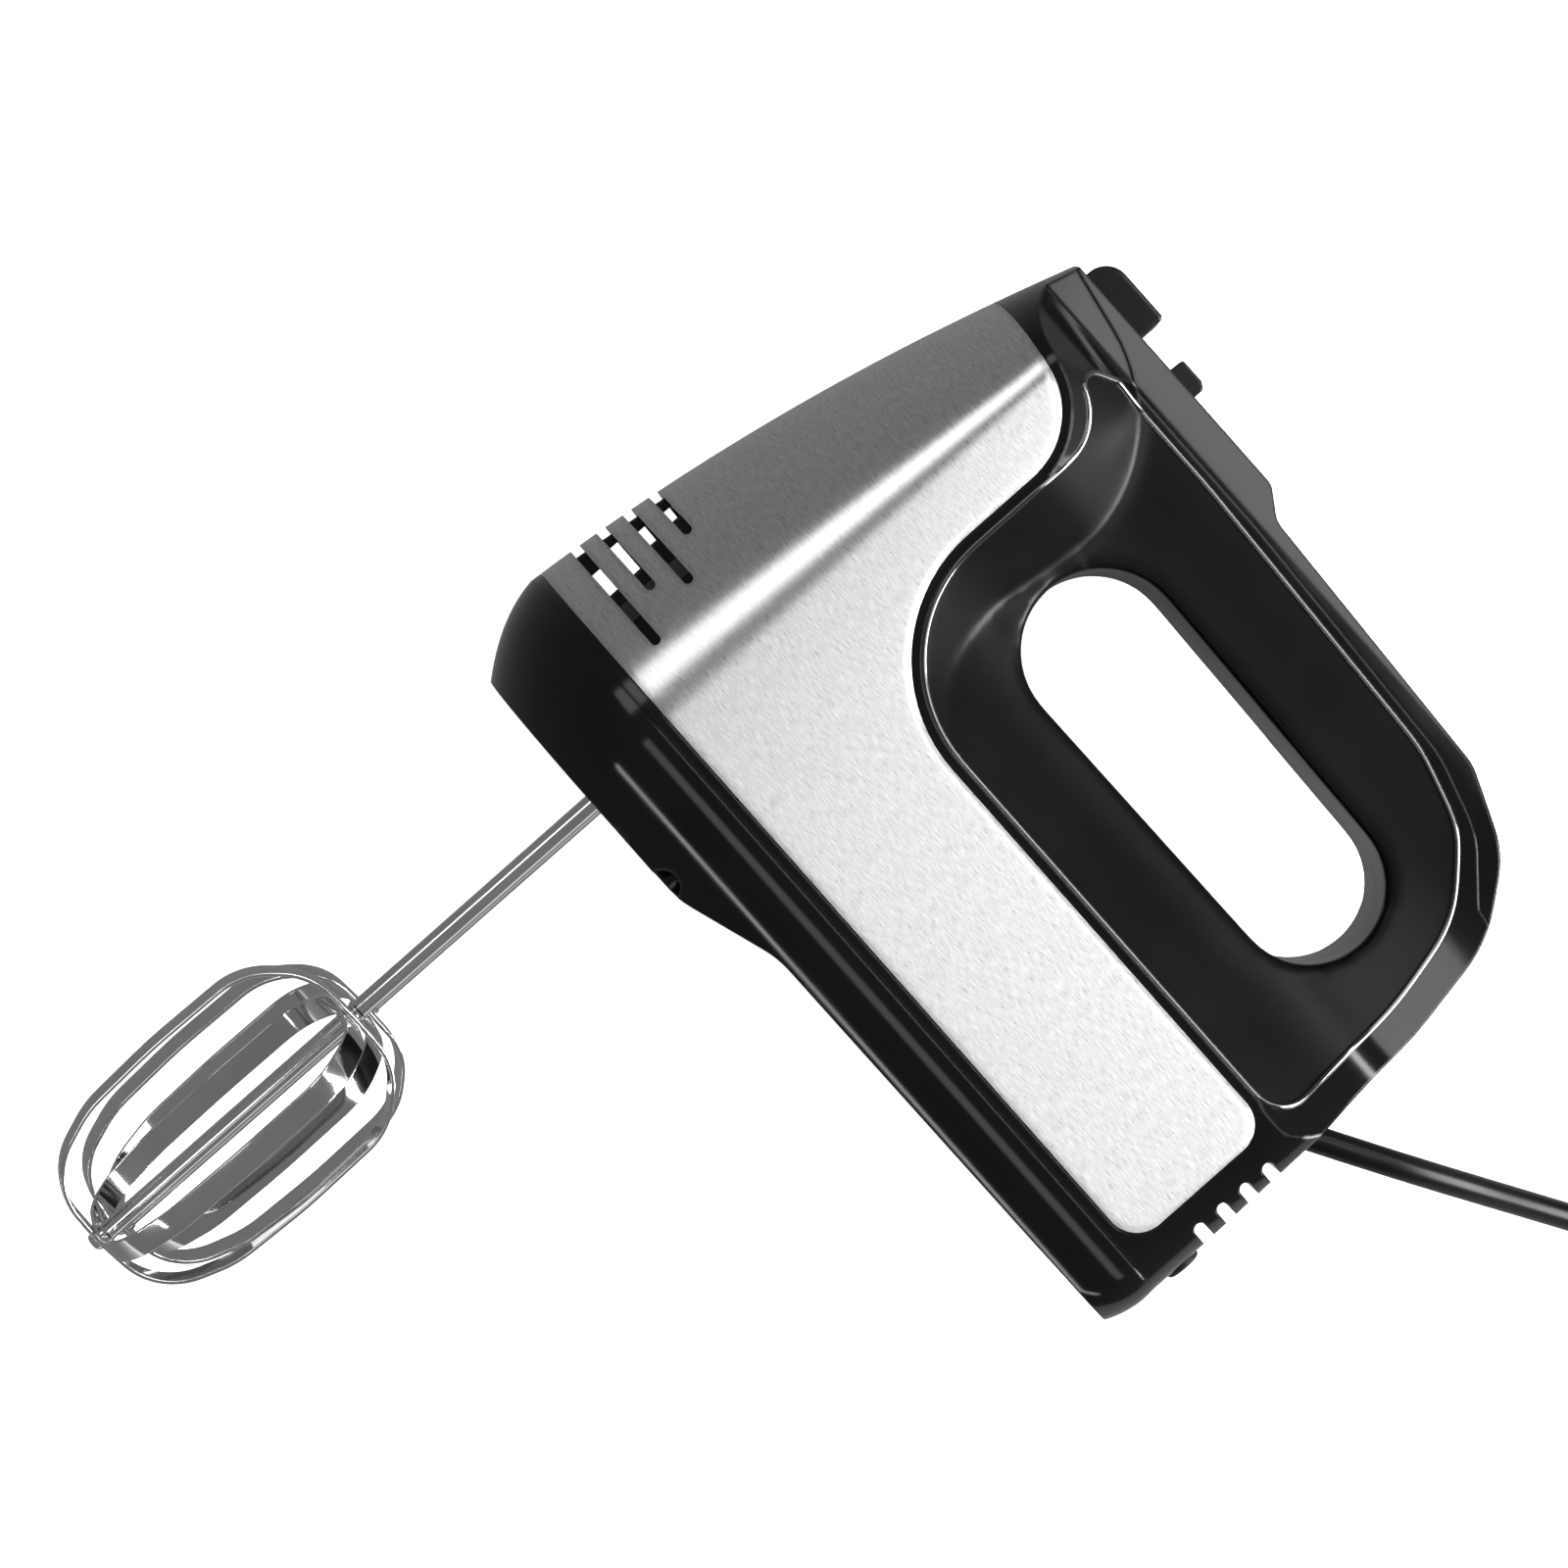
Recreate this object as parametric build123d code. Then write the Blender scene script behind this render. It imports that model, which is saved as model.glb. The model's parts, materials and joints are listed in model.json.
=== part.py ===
from build123d import *
import os
from math import copysign, cos, pi, radians, sin, tan

# A hand mixer lying on its flat side. Working axes, in millimetres: X up in use, measured from
# a datum just above the lower seam; Y forward, towards the nose; Z to the right of the mid plane.
# Every solid moves by FRAME_SHIFT when it is written, so that the finished part stands on its side.

# Body shell
HALF_WIDTH = 43.0
NOSE_BOTTOM = 67.9
NOSE_MIDDLE = 60.4
NOSE_TOP = 41.8
CREASE_BOTTOM = 24.6
CREASE_TOP = 26.9
MIDDLE_HEIGHT = 45.0
TOP_HEIGHT = 118.0
SEAM_HEIGHT = -11.6
BELLY_HEIGHT = -32.3
HEEL = -128.4
HEEL_CORNER = 9.0
COVER_TOP = 117.6
HANDLE_HALF_WIDTH = 21.5
SHELL_WALL = 3.0
SKIN = 1.5
STEEL = 0.6
COVER_WALL = 2.2
BOWL_TAPER = 35.0
RIM = 2.3
FLAT_TRIM = 0.02
OVERHANG = 2.0

# Openings of the shell
VENT_PITCH = 6.65
VENT_HEIGHT = 2.25
VENT_BASE = -0.2
VENT_ENDS = (38.5, 47.9, 43.6, 51.7)
HEEL_VENT_BASE = 3.6
HEEL_VENT_PITCH = 6.2
HEEL_VENT_HEIGHT = 2.7
HEEL_VENT_FRONT = -123.4
GRIP_FRONT = (68.2, -23.5, 17.4)
GRIP_REAR = (67.8, -88.2, 16.3)

# Fixings: each screw pair's Y, its distance from the mid plane and the height its heads bear on
SCREWS = ((0.5, 32.5, -24.3), (-110.5, 34.0, -19.2))
SCREW_HEAD = (3.1, 2.2)
SCREW_SHANK = 1.5
SCREW_LENGTH = 17.0
SCREW_RECESS = 3.9
BOSS_RADIUS = 4.2
BOSS_ROOF = 4.0
BOSS_RIB = 2.4
FOOT_PLACE = (-3.9, 29.0)
FOOT_RADIUS = 4.0
FOOT_PEG = 1.8
FOOT_PROUD = 1.4

# Controls
EJECT_Y = 29.5
EJECT_SIZE = (17.7, 18.0)
EJECT_TOP = 125.2
EJECT_TRAVEL = 6.0
SLIDER_Y = 7.9
SLIDER_SIZE = (8.2, 14.0)
SLIDER_TOP = 122.5
SLIDER_FORWARD = 6.5
SLIDER_BACK = 4.5
TURBO_Y = -11.2
TURBO_SIZE = (17.0, 16.0)
TURBO_TOP = 118.6
TURBO_TRAVEL = 1.5
BUTTON_GAP = 0.35
FLANGE_UNDER = 108.0
FLANGE_LIP = 0.6
PUSH_ROD = 3.0
YOKE = (38.0, 44.0)
PAD_RADIUS = 3.2
PAD_FOOT = 34.4
GUIDE = (57.0, 60.0)
SWITCH_TOP = 106.2

# Drive
BEATER_Y = 23.5
BEATER_Z = 17.5
STEM_RADIUS = 2.1
RUNNING_GAP = 0.05
SPINDLE_RADIUS = 4.5
SPINDLE_TOP = 25.0
SPINDLE_FOOT = -29.5
STEM_TOP = 3.8
WORM_AXIS = 12.0
WORM_STARTS = 2
WORM_RADIUS = 4.2
WHEEL_TEETH = 24
WHEEL_TIP = 13.1
WHEEL_THICKNESS = 8.0
SHAFT_RADIUS = 3.0
FIELD = (-58.0, -22.0)
FIELD_RADIUS = 27.0
FIELD_BORE = 17.5
COIL_OFFSET = 15.7
ROTOR_RADIUS = 16.9
REAR_BEARING = (5.5, -84.0, -79.0)
FRONT_BEARING = (6.5, -5.0, -1.0)
WORM_BEARING = (6.5, 46.0, 50.0)
BRACKET = (-84.0, -80.0)
COMMUTATOR = (9.0, -76.0, -64.0)
BRUSH = (3.0, -73.0, -67.0)
BRUSH_CLEARANCE = 0.1
WORM_HALF = 14.0
FAN = (24.0, -17.0, -8.0)
FAN_BLADES = 9
ROTOR_SLOTS = 12
FRAME_HEIGHT = (-13.5, 22.5)
BUSH_RADIUS = 6.5
BUSH_LENGTH = 5.0
PIN_HEAD = (3.8, 32.0, 34.0)

# Beaters
CAGE_TOP = -99.3
CAGE_BOTTOM = -170.9
CAGE_RADIUS = 24.9
HOOP_WIDTH = 5.5
HOOP_THICKNESS = 0.9
PHASE_A = 21.0
PHASE_B = 32.0
NUB_LENGTH = 1.3
HOOP_CLEARANCE = 0.15
WING_SPAN = (-13.0, -8.0)
WING_REACH = 3.2
WING_THICKNESS = 1.0
WING_SLOT_TOP = -5.6

# Mains lead
CORD_RADIUS = 3.0
CORD_EXIT = (32.2, -127.1)
CORD_TILT = 30.4
RELIEF_LENGTH = 21.0
RELIEF_RADII = (5.2, 3.7)
RELIEF_FLANGE = (7.0, 3.0)
RELIEF_NECK = 9.6
RECESS = ((15.0, 37.5), (-140.0, -106.5), (-11.0, 11.0))
FLOOR = -HALF_WIDTH
COIL_CENTRE = (123.0, -204.8)
COIL_INNER = 24.0
COIL_OUTER = 42.0
COIL_HEIGHT = 11.4
PLUG_THICKNESS = 13.7
PLUG_WIDTH = 24.0
PLUG_LENGTH = 26.0
PLUG_NECK = (9.0, 10.0, 8.0)
PIN_RADIUS = 2.0
PIN_LENGTH = 19.0
PIN_OFFSET = 9.3

# Overall frame: the base is the flat side, under the middle of the object's box
LOWEST_X = CAGE_BOTTOM - NUB_LENGTH
FRAME_SHIFT = (-(LOWEST_X + EJECT_TOP) / 2, -(NOSE_BOTTOM + HEEL - FOOT_PROUD) / 2, HALF_WIDTH)

ACROSS_Y = Plane(origin=(0, 0, 0), x_dir=(1, 0, 0), z_dir=(0, 1, 0))


def save(name, *shapes):
    """Writes one node, moved into the part's own frame."""
    solids = [solid for shape in shapes for solid in shape.solids()]
    node = solids[0] if len(solids) == 1 else Compound(children=solids)
    export_step(node.moved(Location(FRAME_SHIFT)), f"parts/{name}.step")


def block(x, y, z):
    """A box from its (low, high) span along each axis."""
    size = [span[1] - span[0] for span in (x, y, z)]
    centre = [(span[1] + span[0]) / 2 for span in (x, y, z)]
    return Pos(*centre) * Box(*size)


def rod_x(radius, low, high, y, z):
    """A cylinder along X."""
    turned = Rot(0, 90, 0) * Cylinder(radius, high - low)
    return Pos((low + high) / 2, y, z) * turned


def rod_y(radius, low, high, x=WORM_AXIS, z=0.0):
    """A cylinder along Y, on the motor's axis unless told otherwise."""
    turned = Rot(90, 0, 0) * Cylinder(radius, high - low)
    return Pos(x, (low + high) / 2, z) * turned


def tube_y(outer, inner, low, high):
    """A ring along Y on the motor's axis."""
    return rod_y(outer, low, high) - rod_y(inner, low - 1, high + 1)


def outline(points, radii):
    """A filled outline in the side view, with a rounding at each point."""
    return make_face(FilletPolyline(*points, radius=radii, close=True))


def side_slab(face, half=60.0):
    """A side-view outline carried across the whole width."""
    return extrude(face, amount=half, both=True)


def plan_section(height, nose, crease, half, heel, corner):
    """A level section of the shell: an elliptical nose, flat sides and a rounded heel."""
    front = EllipticalCenterArc((crease, 0), nose - crease, half, start_angle=-90, arc_size=180)
    back = FilletPolyline((crease, half), (heel, half), (heel, -half), (crease, -half), radius=corner)
    level = Plane(origin=(height, 0, 0), x_dir=(0, 1, 0), z_dir=(1, 0, 0))
    return level * make_face([front, *back.edges()])


def main_loft(inset):
    """The shell's full-width form, from below the seam to the top of the cover, with truly flat sides."""
    flat = HALF_WIDTH - inset
    half = flat + FLAT_TRIM
    heel = HEEL + inset
    corner = HEEL_CORNER - inset
    low = plan_section(-12.0, NOSE_BOTTOM - inset, CREASE_BOTTOM, half, heel, corner)
    crease = (CREASE_BOTTOM + CREASE_TOP) / 2
    middle = plan_section(MIDDLE_HEIGHT, NOSE_MIDDLE - inset, crease, half, heel, corner)
    high = plan_section(TOP_HEIGHT, NOSE_TOP - inset, CREASE_TOP, half, heel, corner)
    return loft([low, middle, high]) & block((-50, 150), (-150, 100), (-flat, flat))


def upper_outline(inset):
    """Side view of the upper shell with its cover, open below when it is inset."""
    points = [(SEAM_HEIGHT, 90), (COVER_TOP, 90), (COVER_TOP, -20.5), (113.3, -27), (110.4, -92)]
    points += [(103, -110), (88, -122), (64, -126.2), (SEAM_HEIGHT, HEEL)]
    face = outline(points, [0, 0, 4, 6, 12, 22, 30, 60, 0])
    if inset == 0:
        return face
    face = offset(face, -inset, kind=Kind.INTERSECTION)
    mouth = Pos(SEAM_HEIGHT, (90 + HEEL) / 2) * Rectangle(4 * inset, 90 - HEEL - 2 * inset)
    return face + mouth


def steel_outline(grow=0.0):
    """Side view of the steel shroud, which runs on past the nose."""
    points = [(-9.0 - grow, 90), (107.6 + grow, 90), (94.5 + grow, 13.3 - grow)]
    points += [(27.7 + grow, 13.3 - grow), (27.7 + grow, -118.2 - grow), (-9.0 - grow, -118.2 - grow)]
    return outline(points, [0, 0, 18 + grow, 34 - grow, 7 + grow, 7 + grow])


def grip_hole(grow=0.0):
    """Side view of the finger opening: two round ends and the straight lines between them."""
    front = Pos(*GRIP_FRONT[:2]) * Circle(GRIP_FRONT[2] + grow)
    rear = Pos(*GRIP_REAR[:2]) * Circle(GRIP_REAR[2] + grow)
    return make_hull([*front.edges(), *rear.edges()])


def core_form(inset):
    """The width of the handle and of the slopes under the grip."""
    wide = HALF_WIDTH + OVERHANG
    widths = [(SEAM_HEIGHT - 5, wide), (28 - 1.2 * OVERHANG, wide), (40, 33), (52, 27), (66, 24)]
    widths += [(84, HANDLE_HALF_WIDTH), (109.8, HANDLE_HALF_WIDTH), (130, HANDLE_HALF_WIDTH - 2)]
    right = [(x, z - inset) for x, z in widths]
    left = [(x, -z) for x, z in reversed(right)]
    face = ACROSS_Y * make_face(Polyline(*[(x, -z) for x, z in right + left], close=True))
    return Pos(0, 150, 0) * extrude(face, amount=-300)


def shoulder_form(inset):
    """The slope from the wide sides up to the narrow control cover."""
    wide = HALF_WIDTH + OVERHANG - inset
    right = [(SEAM_HEIGHT - 5, wide), (100 - OVERHANG / 2, wide)]
    right += [(109.8, HANDLE_HALF_WIDTH + 1 - inset), (130, HANDLE_HALF_WIDTH - 1 - inset)]
    left = [(x, -z) for x, z in reversed(right)]
    face = ACROSS_Y * make_face(Polyline(*[(x, -z) for x, z in right + left], close=True))
    return Pos(0, 150, 0) * extrude(face, amount=-300)


def bowl_slopes(inset):
    """The steel's outline, spreading outwards as it goes in from each side."""
    depth = HALF_WIDTH - inset
    face = steel_outline(RIM - inset)
    right = Pos(0, 0, depth) * (extrude(face, amount=-depth, taper=-BOWL_TAPER) + extrude(face, amount=OVERHANG))
    return right + mirror(right, Plane.XY)


def upper_form(inset):
    """The upper shell and cover together, filled in, smaller by inset all round."""
    form = main_loft(inset) & side_slab(upper_outline(inset))
    form = form & shoulder_form(inset)
    form = form & (core_form(inset) + bowl_slopes(inset))
    return form - side_slab(grip_hole(inset))


def above_seam():
    """Side view of everything above the seam between the chassis and its control cover."""
    points = [(109.8, 90), (109.4, -25), (106.8, -86), (101.6, -103.5), (91.5, -115.5), (88.5, -136)]
    points += [(135, -136), (135, 90)]
    return outline(points, [0, 60, 30, 22, 2, 0, 0, 0])


def bowl_outline():
    """Side view of the satin grip skin, inside the gloss rim."""
    points = [(30, 11), (97.2, 11), (101.2, 26), (107.4, 17), (107.4, -12), (104.6, -82)]
    points += [(99.5, -100), (86, -114), (64, -119), (30, -119.4)]
    return outline(points, [31.7, 13, 3, 3, 60, 30, 18, 24, 60, 8])


def vent_tool():
    """The four nose vents, each with a round end towards the side."""
    tool = None
    for row, end in enumerate(VENT_ENDS):
        height = VENT_BASE + row * VENT_PITCH
        rounding = VENT_HEIGHT / 2
        slot = Pos(height, (90 + end + rounding) / 2) * Rectangle(VENT_HEIGHT, 90 - end - rounding)
        slot += Pos(height, end + rounding) * Circle(rounding)
        cutter = side_slab(slot)
        tool = cutter if tool is None else tool + cutter
    return tool


def heel_vent_tool():
    """The four notches across the heel."""
    tool = None
    for row in range(4):
        height = HEEL_VENT_BASE + row * HEEL_VENT_PITCH
        rounding = HEEL_VENT_HEIGHT / 2
        slot = Pos(height, HEEL_VENT_FRONT - rounding - 6) * Rectangle(HEEL_VENT_HEIGHT, 12)
        slot += Pos(height, HEEL_VENT_FRONT - rounding) * Circle(rounding)
        cutter = side_slab(slot)
        tool = cutter if tool is None else tool + cutter
    return tool


def cord_direction():
    """The way the lead leaves the heel: backwards, and tilted up."""
    return Vector(sin(radians(CORD_TILT)), -cos(radians(CORD_TILT)), 0)


def along_exit(distance):
    """A point on the lead's exit line, measured back from where the lead leaves its relief."""
    return Vector(*CORD_EXIT, 0) - cord_direction() * distance


def screw_places():
    """Each housing screw's Y, Z and the height that its head bears on."""
    return [(y, side * z, seat) for y, z, seat in SCREWS for side in (1, -1)]


def add_cord_recess(chassis, inner):
    """The chassis with a pocket in its heel for the lead's relief, and a way through for the lead."""
    span, depth, width = RECESS
    cup = block((span[0] - 2, span[1] + 2), (depth[0], depth[1] + 2), (width[0] - 2, width[1] + 2))
    chassis = chassis + (cup & inner) - block(span, depth, width)
    passage = Plane(origin=along_exit(RELIEF_LENGTH + RELIEF_NECK / 2), z_dir=cord_direction())
    return chassis - passage * Cylinder(RELIEF_RADII[0] + 0.2, RELIEF_NECK + 4)


def add_bosses(chassis):
    """The chassis with a bored screw boss near each corner, and a rib from it to the side wall."""
    for y, z, seat in screw_places():
        tip = seat + SCREW_LENGTH
        wall = copysign(HALF_WIDTH - SHELL_WALL / 2, z)
        rib = block((SEAM_HEIGHT, tip + BOSS_ROOF), (y - BOSS_RIB / 2, y + BOSS_RIB / 2), sorted((z, wall)))
        chassis += rod_x(BOSS_RADIUS, SEAM_HEIGHT, tip + BOSS_ROOF, y, z) + rib
        chassis -= rod_x(SCREW_SHANK, SEAM_HEIGHT - 1, tip, y, z)
    return chassis


def make_casings():
    """The steel shroud, the chassis halves, the grip skins and the control cover."""
    outer = upper_form(0)
    inner = upper_form(SHELL_WALL)
    steel = (main_loft(0) - main_loft(STEEL)) & side_slab(steel_outline())
    skin = (outer - upper_form(SKIN)) & side_slab(bowl_outline())
    lid = side_slab(above_seam())
    cover = (outer - upper_form(COVER_WALL)) & lid
    chassis = add_bosses(add_cord_recess(outer - inner - lid - steel - skin, inner))
    for side in (1, -1):
        height, aside = FOOT_PLACE
        chassis -= rod_y(FOOT_PEG, HEEL - 2, HEEL + 5, height, side * aside)
    chassis = chassis - vent_tool() - heel_vent_tool()
    right = block((-60, 160), (-160, 120), (0, 70))
    left = block((-60, 160), (-160, 120), (-70, 0))
    save("steel_shroud", steel - vent_tool())
    save("housing_right", chassis & right)
    save("housing_left", chassis & left)
    save("grip_skin_right", skin & right)
    save("grip_skin_left", skin & left)
    for y, size in ((EJECT_Y, EJECT_SIZE), (TURBO_Y, TURBO_SIZE)):
        cover -= Pos(COVER_TOP, y, 0) * Box(20, size[0] + 2 * BUTTON_GAP, size[1] + 2 * BUTTON_GAP)
    ahead = SLIDER_Y + SLIDER_SIZE[0] / 2 + SLIDER_FORWARD + BUTTON_GAP
    behind = SLIDER_Y - SLIDER_SIZE[0] / 2 - SLIDER_BACK - BUTTON_GAP
    half_slot = SLIDER_SIZE[1] / 2 + BUTTON_GAP
    cover -= block((COVER_TOP - 10, COVER_TOP + 10), (behind, ahead), (-half_slot, half_slot))
    save("control_cover", cover)


def lower_form(inset):
    """The pan under the seam, filled in, open above when it is inset."""
    half = HALF_WIDTH - inset
    top = plan_section(SEAM_HEIGHT, NOSE_BOTTOM - inset, CREASE_BOTTOM, half, HEEL + inset, 9 - inset)
    middle = plan_section(-22.0, 64.6 - inset, CREASE_BOTTOM, half - 2.0, HEEL + 1 + inset, 9 - inset)
    foot = plan_section(-34.0, 56.0 - inset, CREASE_BOTTOM, half - 11.0, HEEL + 8 + inset, 9 - inset)
    points = [(SEAM_HEIGHT, 90), (BELLY_HEIGHT, 90), (BELLY_HEIGHT, -3), (-24.6, -26), (-23.6, -132)]
    points += [(SEAM_HEIGHT, -132)]
    side = outline(points, [0, 0, 22, 22, 0, 0])
    if inset:
        side = offset(side, -inset, kind=Kind.INTERSECTION)
        side += Pos(SEAM_HEIGHT, -20) * Rectangle(4 * inset, 170)
    return loft([top, middle, foot]) & side_slab(side)


def make_pan():
    """The lower housing with its beater holes and screw recesses, and the screws and feet."""
    solid = lower_form(0)
    pan = solid - lower_form(2.5)
    screws = []
    for y, z, seat in screw_places():
        pan += rod_x(6.0, -40, SEAM_HEIGHT, y, z) & solid
        pan -= rod_x(SCREW_RECESS, -45, seat, y, z)
        pan -= rod_x(SCREW_SHANK, -45, 0, y, z)
        radius, height = SCREW_HEAD
        head = rod_x(radius, seat - height, seat, y, z) - block(
            (seat - height - 0.1, seat - height + 1.0), (y - 2.2, y + 2.2), (z - 0.4, z + 0.4)
        )
        screws.append(head + rod_x(SCREW_SHANK, seat, seat + SCREW_LENGTH, y, z))
    for side in (1, -1):
        pan -= rod_x(SPINDLE_RADIUS + 0.4, -45, -20, BEATER_Y, side * BEATER_Z)
    save("lower_housing", pan)
    save("housing_screws", *screws)
    feet = []
    height, aside = FOOT_PLACE
    for side in (1, -1):
        pad = rod_y(FOOT_RADIUS, HEEL - FOOT_PROUD, HEEL, height, side * aside)
        feet.append(pad + rod_y(FOOT_PEG, HEEL, HEEL + SHELL_WALL, height, side * aside))
    save("heel_feet", *feet)


def coil_spring(radius, wire, low, high, turns, y, z=0.0):
    """A compression spring along X."""
    pitch = (high - low - 2 * wire) / turns
    path = Helix(pitch, pitch * turns, radius)
    section = Plane(origin=path @ 0, z_dir=path % 0) * Circle(wire)
    spring = sweep(section, path=path)
    return Pos(low + wire, y, z) * (Rot(0, 90, 0) * spring)


def button(under, top, y, size, edge):
    """A push button's block, standing on its flange's height, with a bevelled top."""
    length, width = size
    solid = Pos((under + top) / 2, y, 0) * Box(top - under, length, width)
    return chamfer(solid.faces().sort_by(Axis.X)[-1].edges(), edge)


def flange(low, high, y, size, lip):
    """The lip that keeps a button or knob under the cover."""
    half_length = size[0] / 2 + lip
    half_width = size[1] / 2 + lip
    return block((low, high), (y - half_length, y + half_length), (-half_width, half_width))


def make_controls():
    """Buttons, slider, their switches and springs, and the ejector."""
    eject = button(FLANGE_UNDER, EJECT_TOP, EJECT_Y, EJECT_SIZE, 0.8)
    lip = flange(FLANGE_UNDER, FLANGE_UNDER + 2, EJECT_Y, EJECT_SIZE, 2 * FLANGE_LIP)
    save("eject_button", eject + lip)
    rod = rod_x(PUSH_ROD, YOKE[1], FLANGE_UNDER, BEATER_Y, 0)
    reach = BEATER_Z + PAD_RADIUS + 0.3
    fork = rod + block(YOKE, (BEATER_Y - 3.5, BEATER_Y + 3.5), (-reach, reach))
    for side in (1, -1):
        fork += rod_x(PAD_RADIUS, PAD_FOOT, YOKE[0], BEATER_Y, side * BEATER_Z)
    save("eject_fork", fork)
    guide_wall = HALF_WIDTH - SHELL_WALL - 0.5
    guide = block(GUIDE, (BEATER_Y - 7, BEATER_Y + 9.5), (-guide_wall, guide_wall))
    guide -= rod_x(PUSH_ROD + RUNNING_GAP, GUIDE[0] - 5, GUIDE[1] + 5, BEATER_Y, 0)
    save("plunger_guide", guide)
    save("eject_spring", coil_spring(4.8, 0.5, GUIDE[1] + 0.05, FLANGE_UNDER - 0.05, 11, BEATER_Y))

    knob_under, knob_lip = 113.2, 115.1
    knob = button(knob_under, SLIDER_TOP, SLIDER_Y, SLIDER_SIZE, 0.9)
    knob += flange(knob_under, knob_lip, SLIDER_Y, SLIDER_SIZE, 1.5)
    knob += block((SWITCH_TOP + 0.4, knob_under), (SLIDER_Y - 2, SLIDER_Y + 2), (-1.5, 1.5))
    save("speed_slider", knob)
    switch = block((SWITCH_TOP - 12, SWITCH_TOP), (-1, 17), (-9, 9))
    save("speed_switch", switch - block((SWITCH_TOP - 5, SWITCH_TOP + 1), (0.5, 15.5), (-2, 2)))

    turbo_under = FLANGE_UNDER + 1
    turbo = button(turbo_under, TURBO_TOP, TURBO_Y, TURBO_SIZE, FLANGE_LIP)
    save("turbo_button", turbo + flange(turbo_under, turbo_under + 1.5, TURBO_Y, TURBO_SIZE, FLANGE_LIP))
    contact = turbo_under - 2.1
    save("turbo_switch", block((contact - 12, contact), (-19, -4), (-6, 6)))
    save("turbo_spring", coil_spring(2.0, 0.25, contact + 0.05, turbo_under - 0.05, 2, -15.0))

    board = block((56, 92), (4, 5.6), (-20, 20))
    filter_block = block((62, 76), (5.6, 12), (-14, -4))
    capacitor = rod_y(4.5, 5.6, 16, 80, 8)
    triac = block((64, 70), (5.6, 9), (4, 12))
    save("control_board", board + filter_block + capacitor + triac)


def about_motor(shape, angle):
    """A shape turned about the motor's axis."""
    return Pos(WORM_AXIS, 0, 0) * Rot(0, angle, 0) * Pos(-WORM_AXIS, 0, 0) * shape


def make_field():
    """The laminated field with its two coils, and the bracket that holds the brushes."""
    back, front = FIELD
    stator = tube_y(FIELD_RADIUS, FIELD_BORE, back, front)
    coils = []
    for side in (1, -1):
        x = WORM_AXIS + side * COIL_OFFSET
        for z in (COIL_OFFSET, -COIL_OFFSET):
            stator -= block((x - 3, x + 3), (back - 1, front + 1), (z - 3, z + 3))
        half = COIL_OFFSET + 2.6
        loop = block((x - 2.6, x + 2.6), (back - 3.5, front + 3.5), (-half, half))
        inside = COIL_OFFSET - 2.6
        coils.append(loop - block((x - 9, x + 9), (back, front), (-inside, inside)))
    save("motor_stator", stator)
    save("field_coils", *coils)
    bracket = block((WORM_AXIS - 18, WORM_AXIS + 18), BRACKET, (-23, 23))
    for side in (1, -1):
        for z in (20.5, -20.5):
            bracket += rod_y(2.5, BRACKET[1], back, WORM_AXIS + side * 13, z)
    bracket -= rod_y(REAR_BEARING[0], BRACKET[0] - 5, BRACKET[1] + 5)
    save("motor_end_bracket", bracket)
    bearings = {"motor_rear_bearing": REAR_BEARING, "motor_front_bearing": FRONT_BEARING}
    bearings["worm_end_bearing"] = WORM_BEARING
    for name, (radius, low, high) in bearings.items():
        save(name, tube_y(radius, SHAFT_RADIUS + RUNNING_GAP, low, high))


def make_brushes():
    """A carbon brush in its holder on each side of the commutator."""
    half, low, high = BRUSH
    holders = []
    brushes = []
    for side in (1, -1):
        tunnel = block((WORM_AXIS - half, WORM_AXIS + half), (low, high), sorted((side * 11, side * 25)))
        shell = sorted((side * 11.5, side * 24))
        case = block((WORM_AXIS - 4.5, WORM_AXIS + 4.5), (BRACKET[1], -65), shell)
        holders.append(case - tunnel)
        tip = side * (COMMUTATOR[0] + BRUSH_CLEARANCE)
        brushes.append(block((WORM_AXIS - half, WORM_AXIS + half), (low, high), sorted((tip, side * 22))))
    save("brush_holders", *holders)
    save("carbon_brushes", *brushes)


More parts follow.
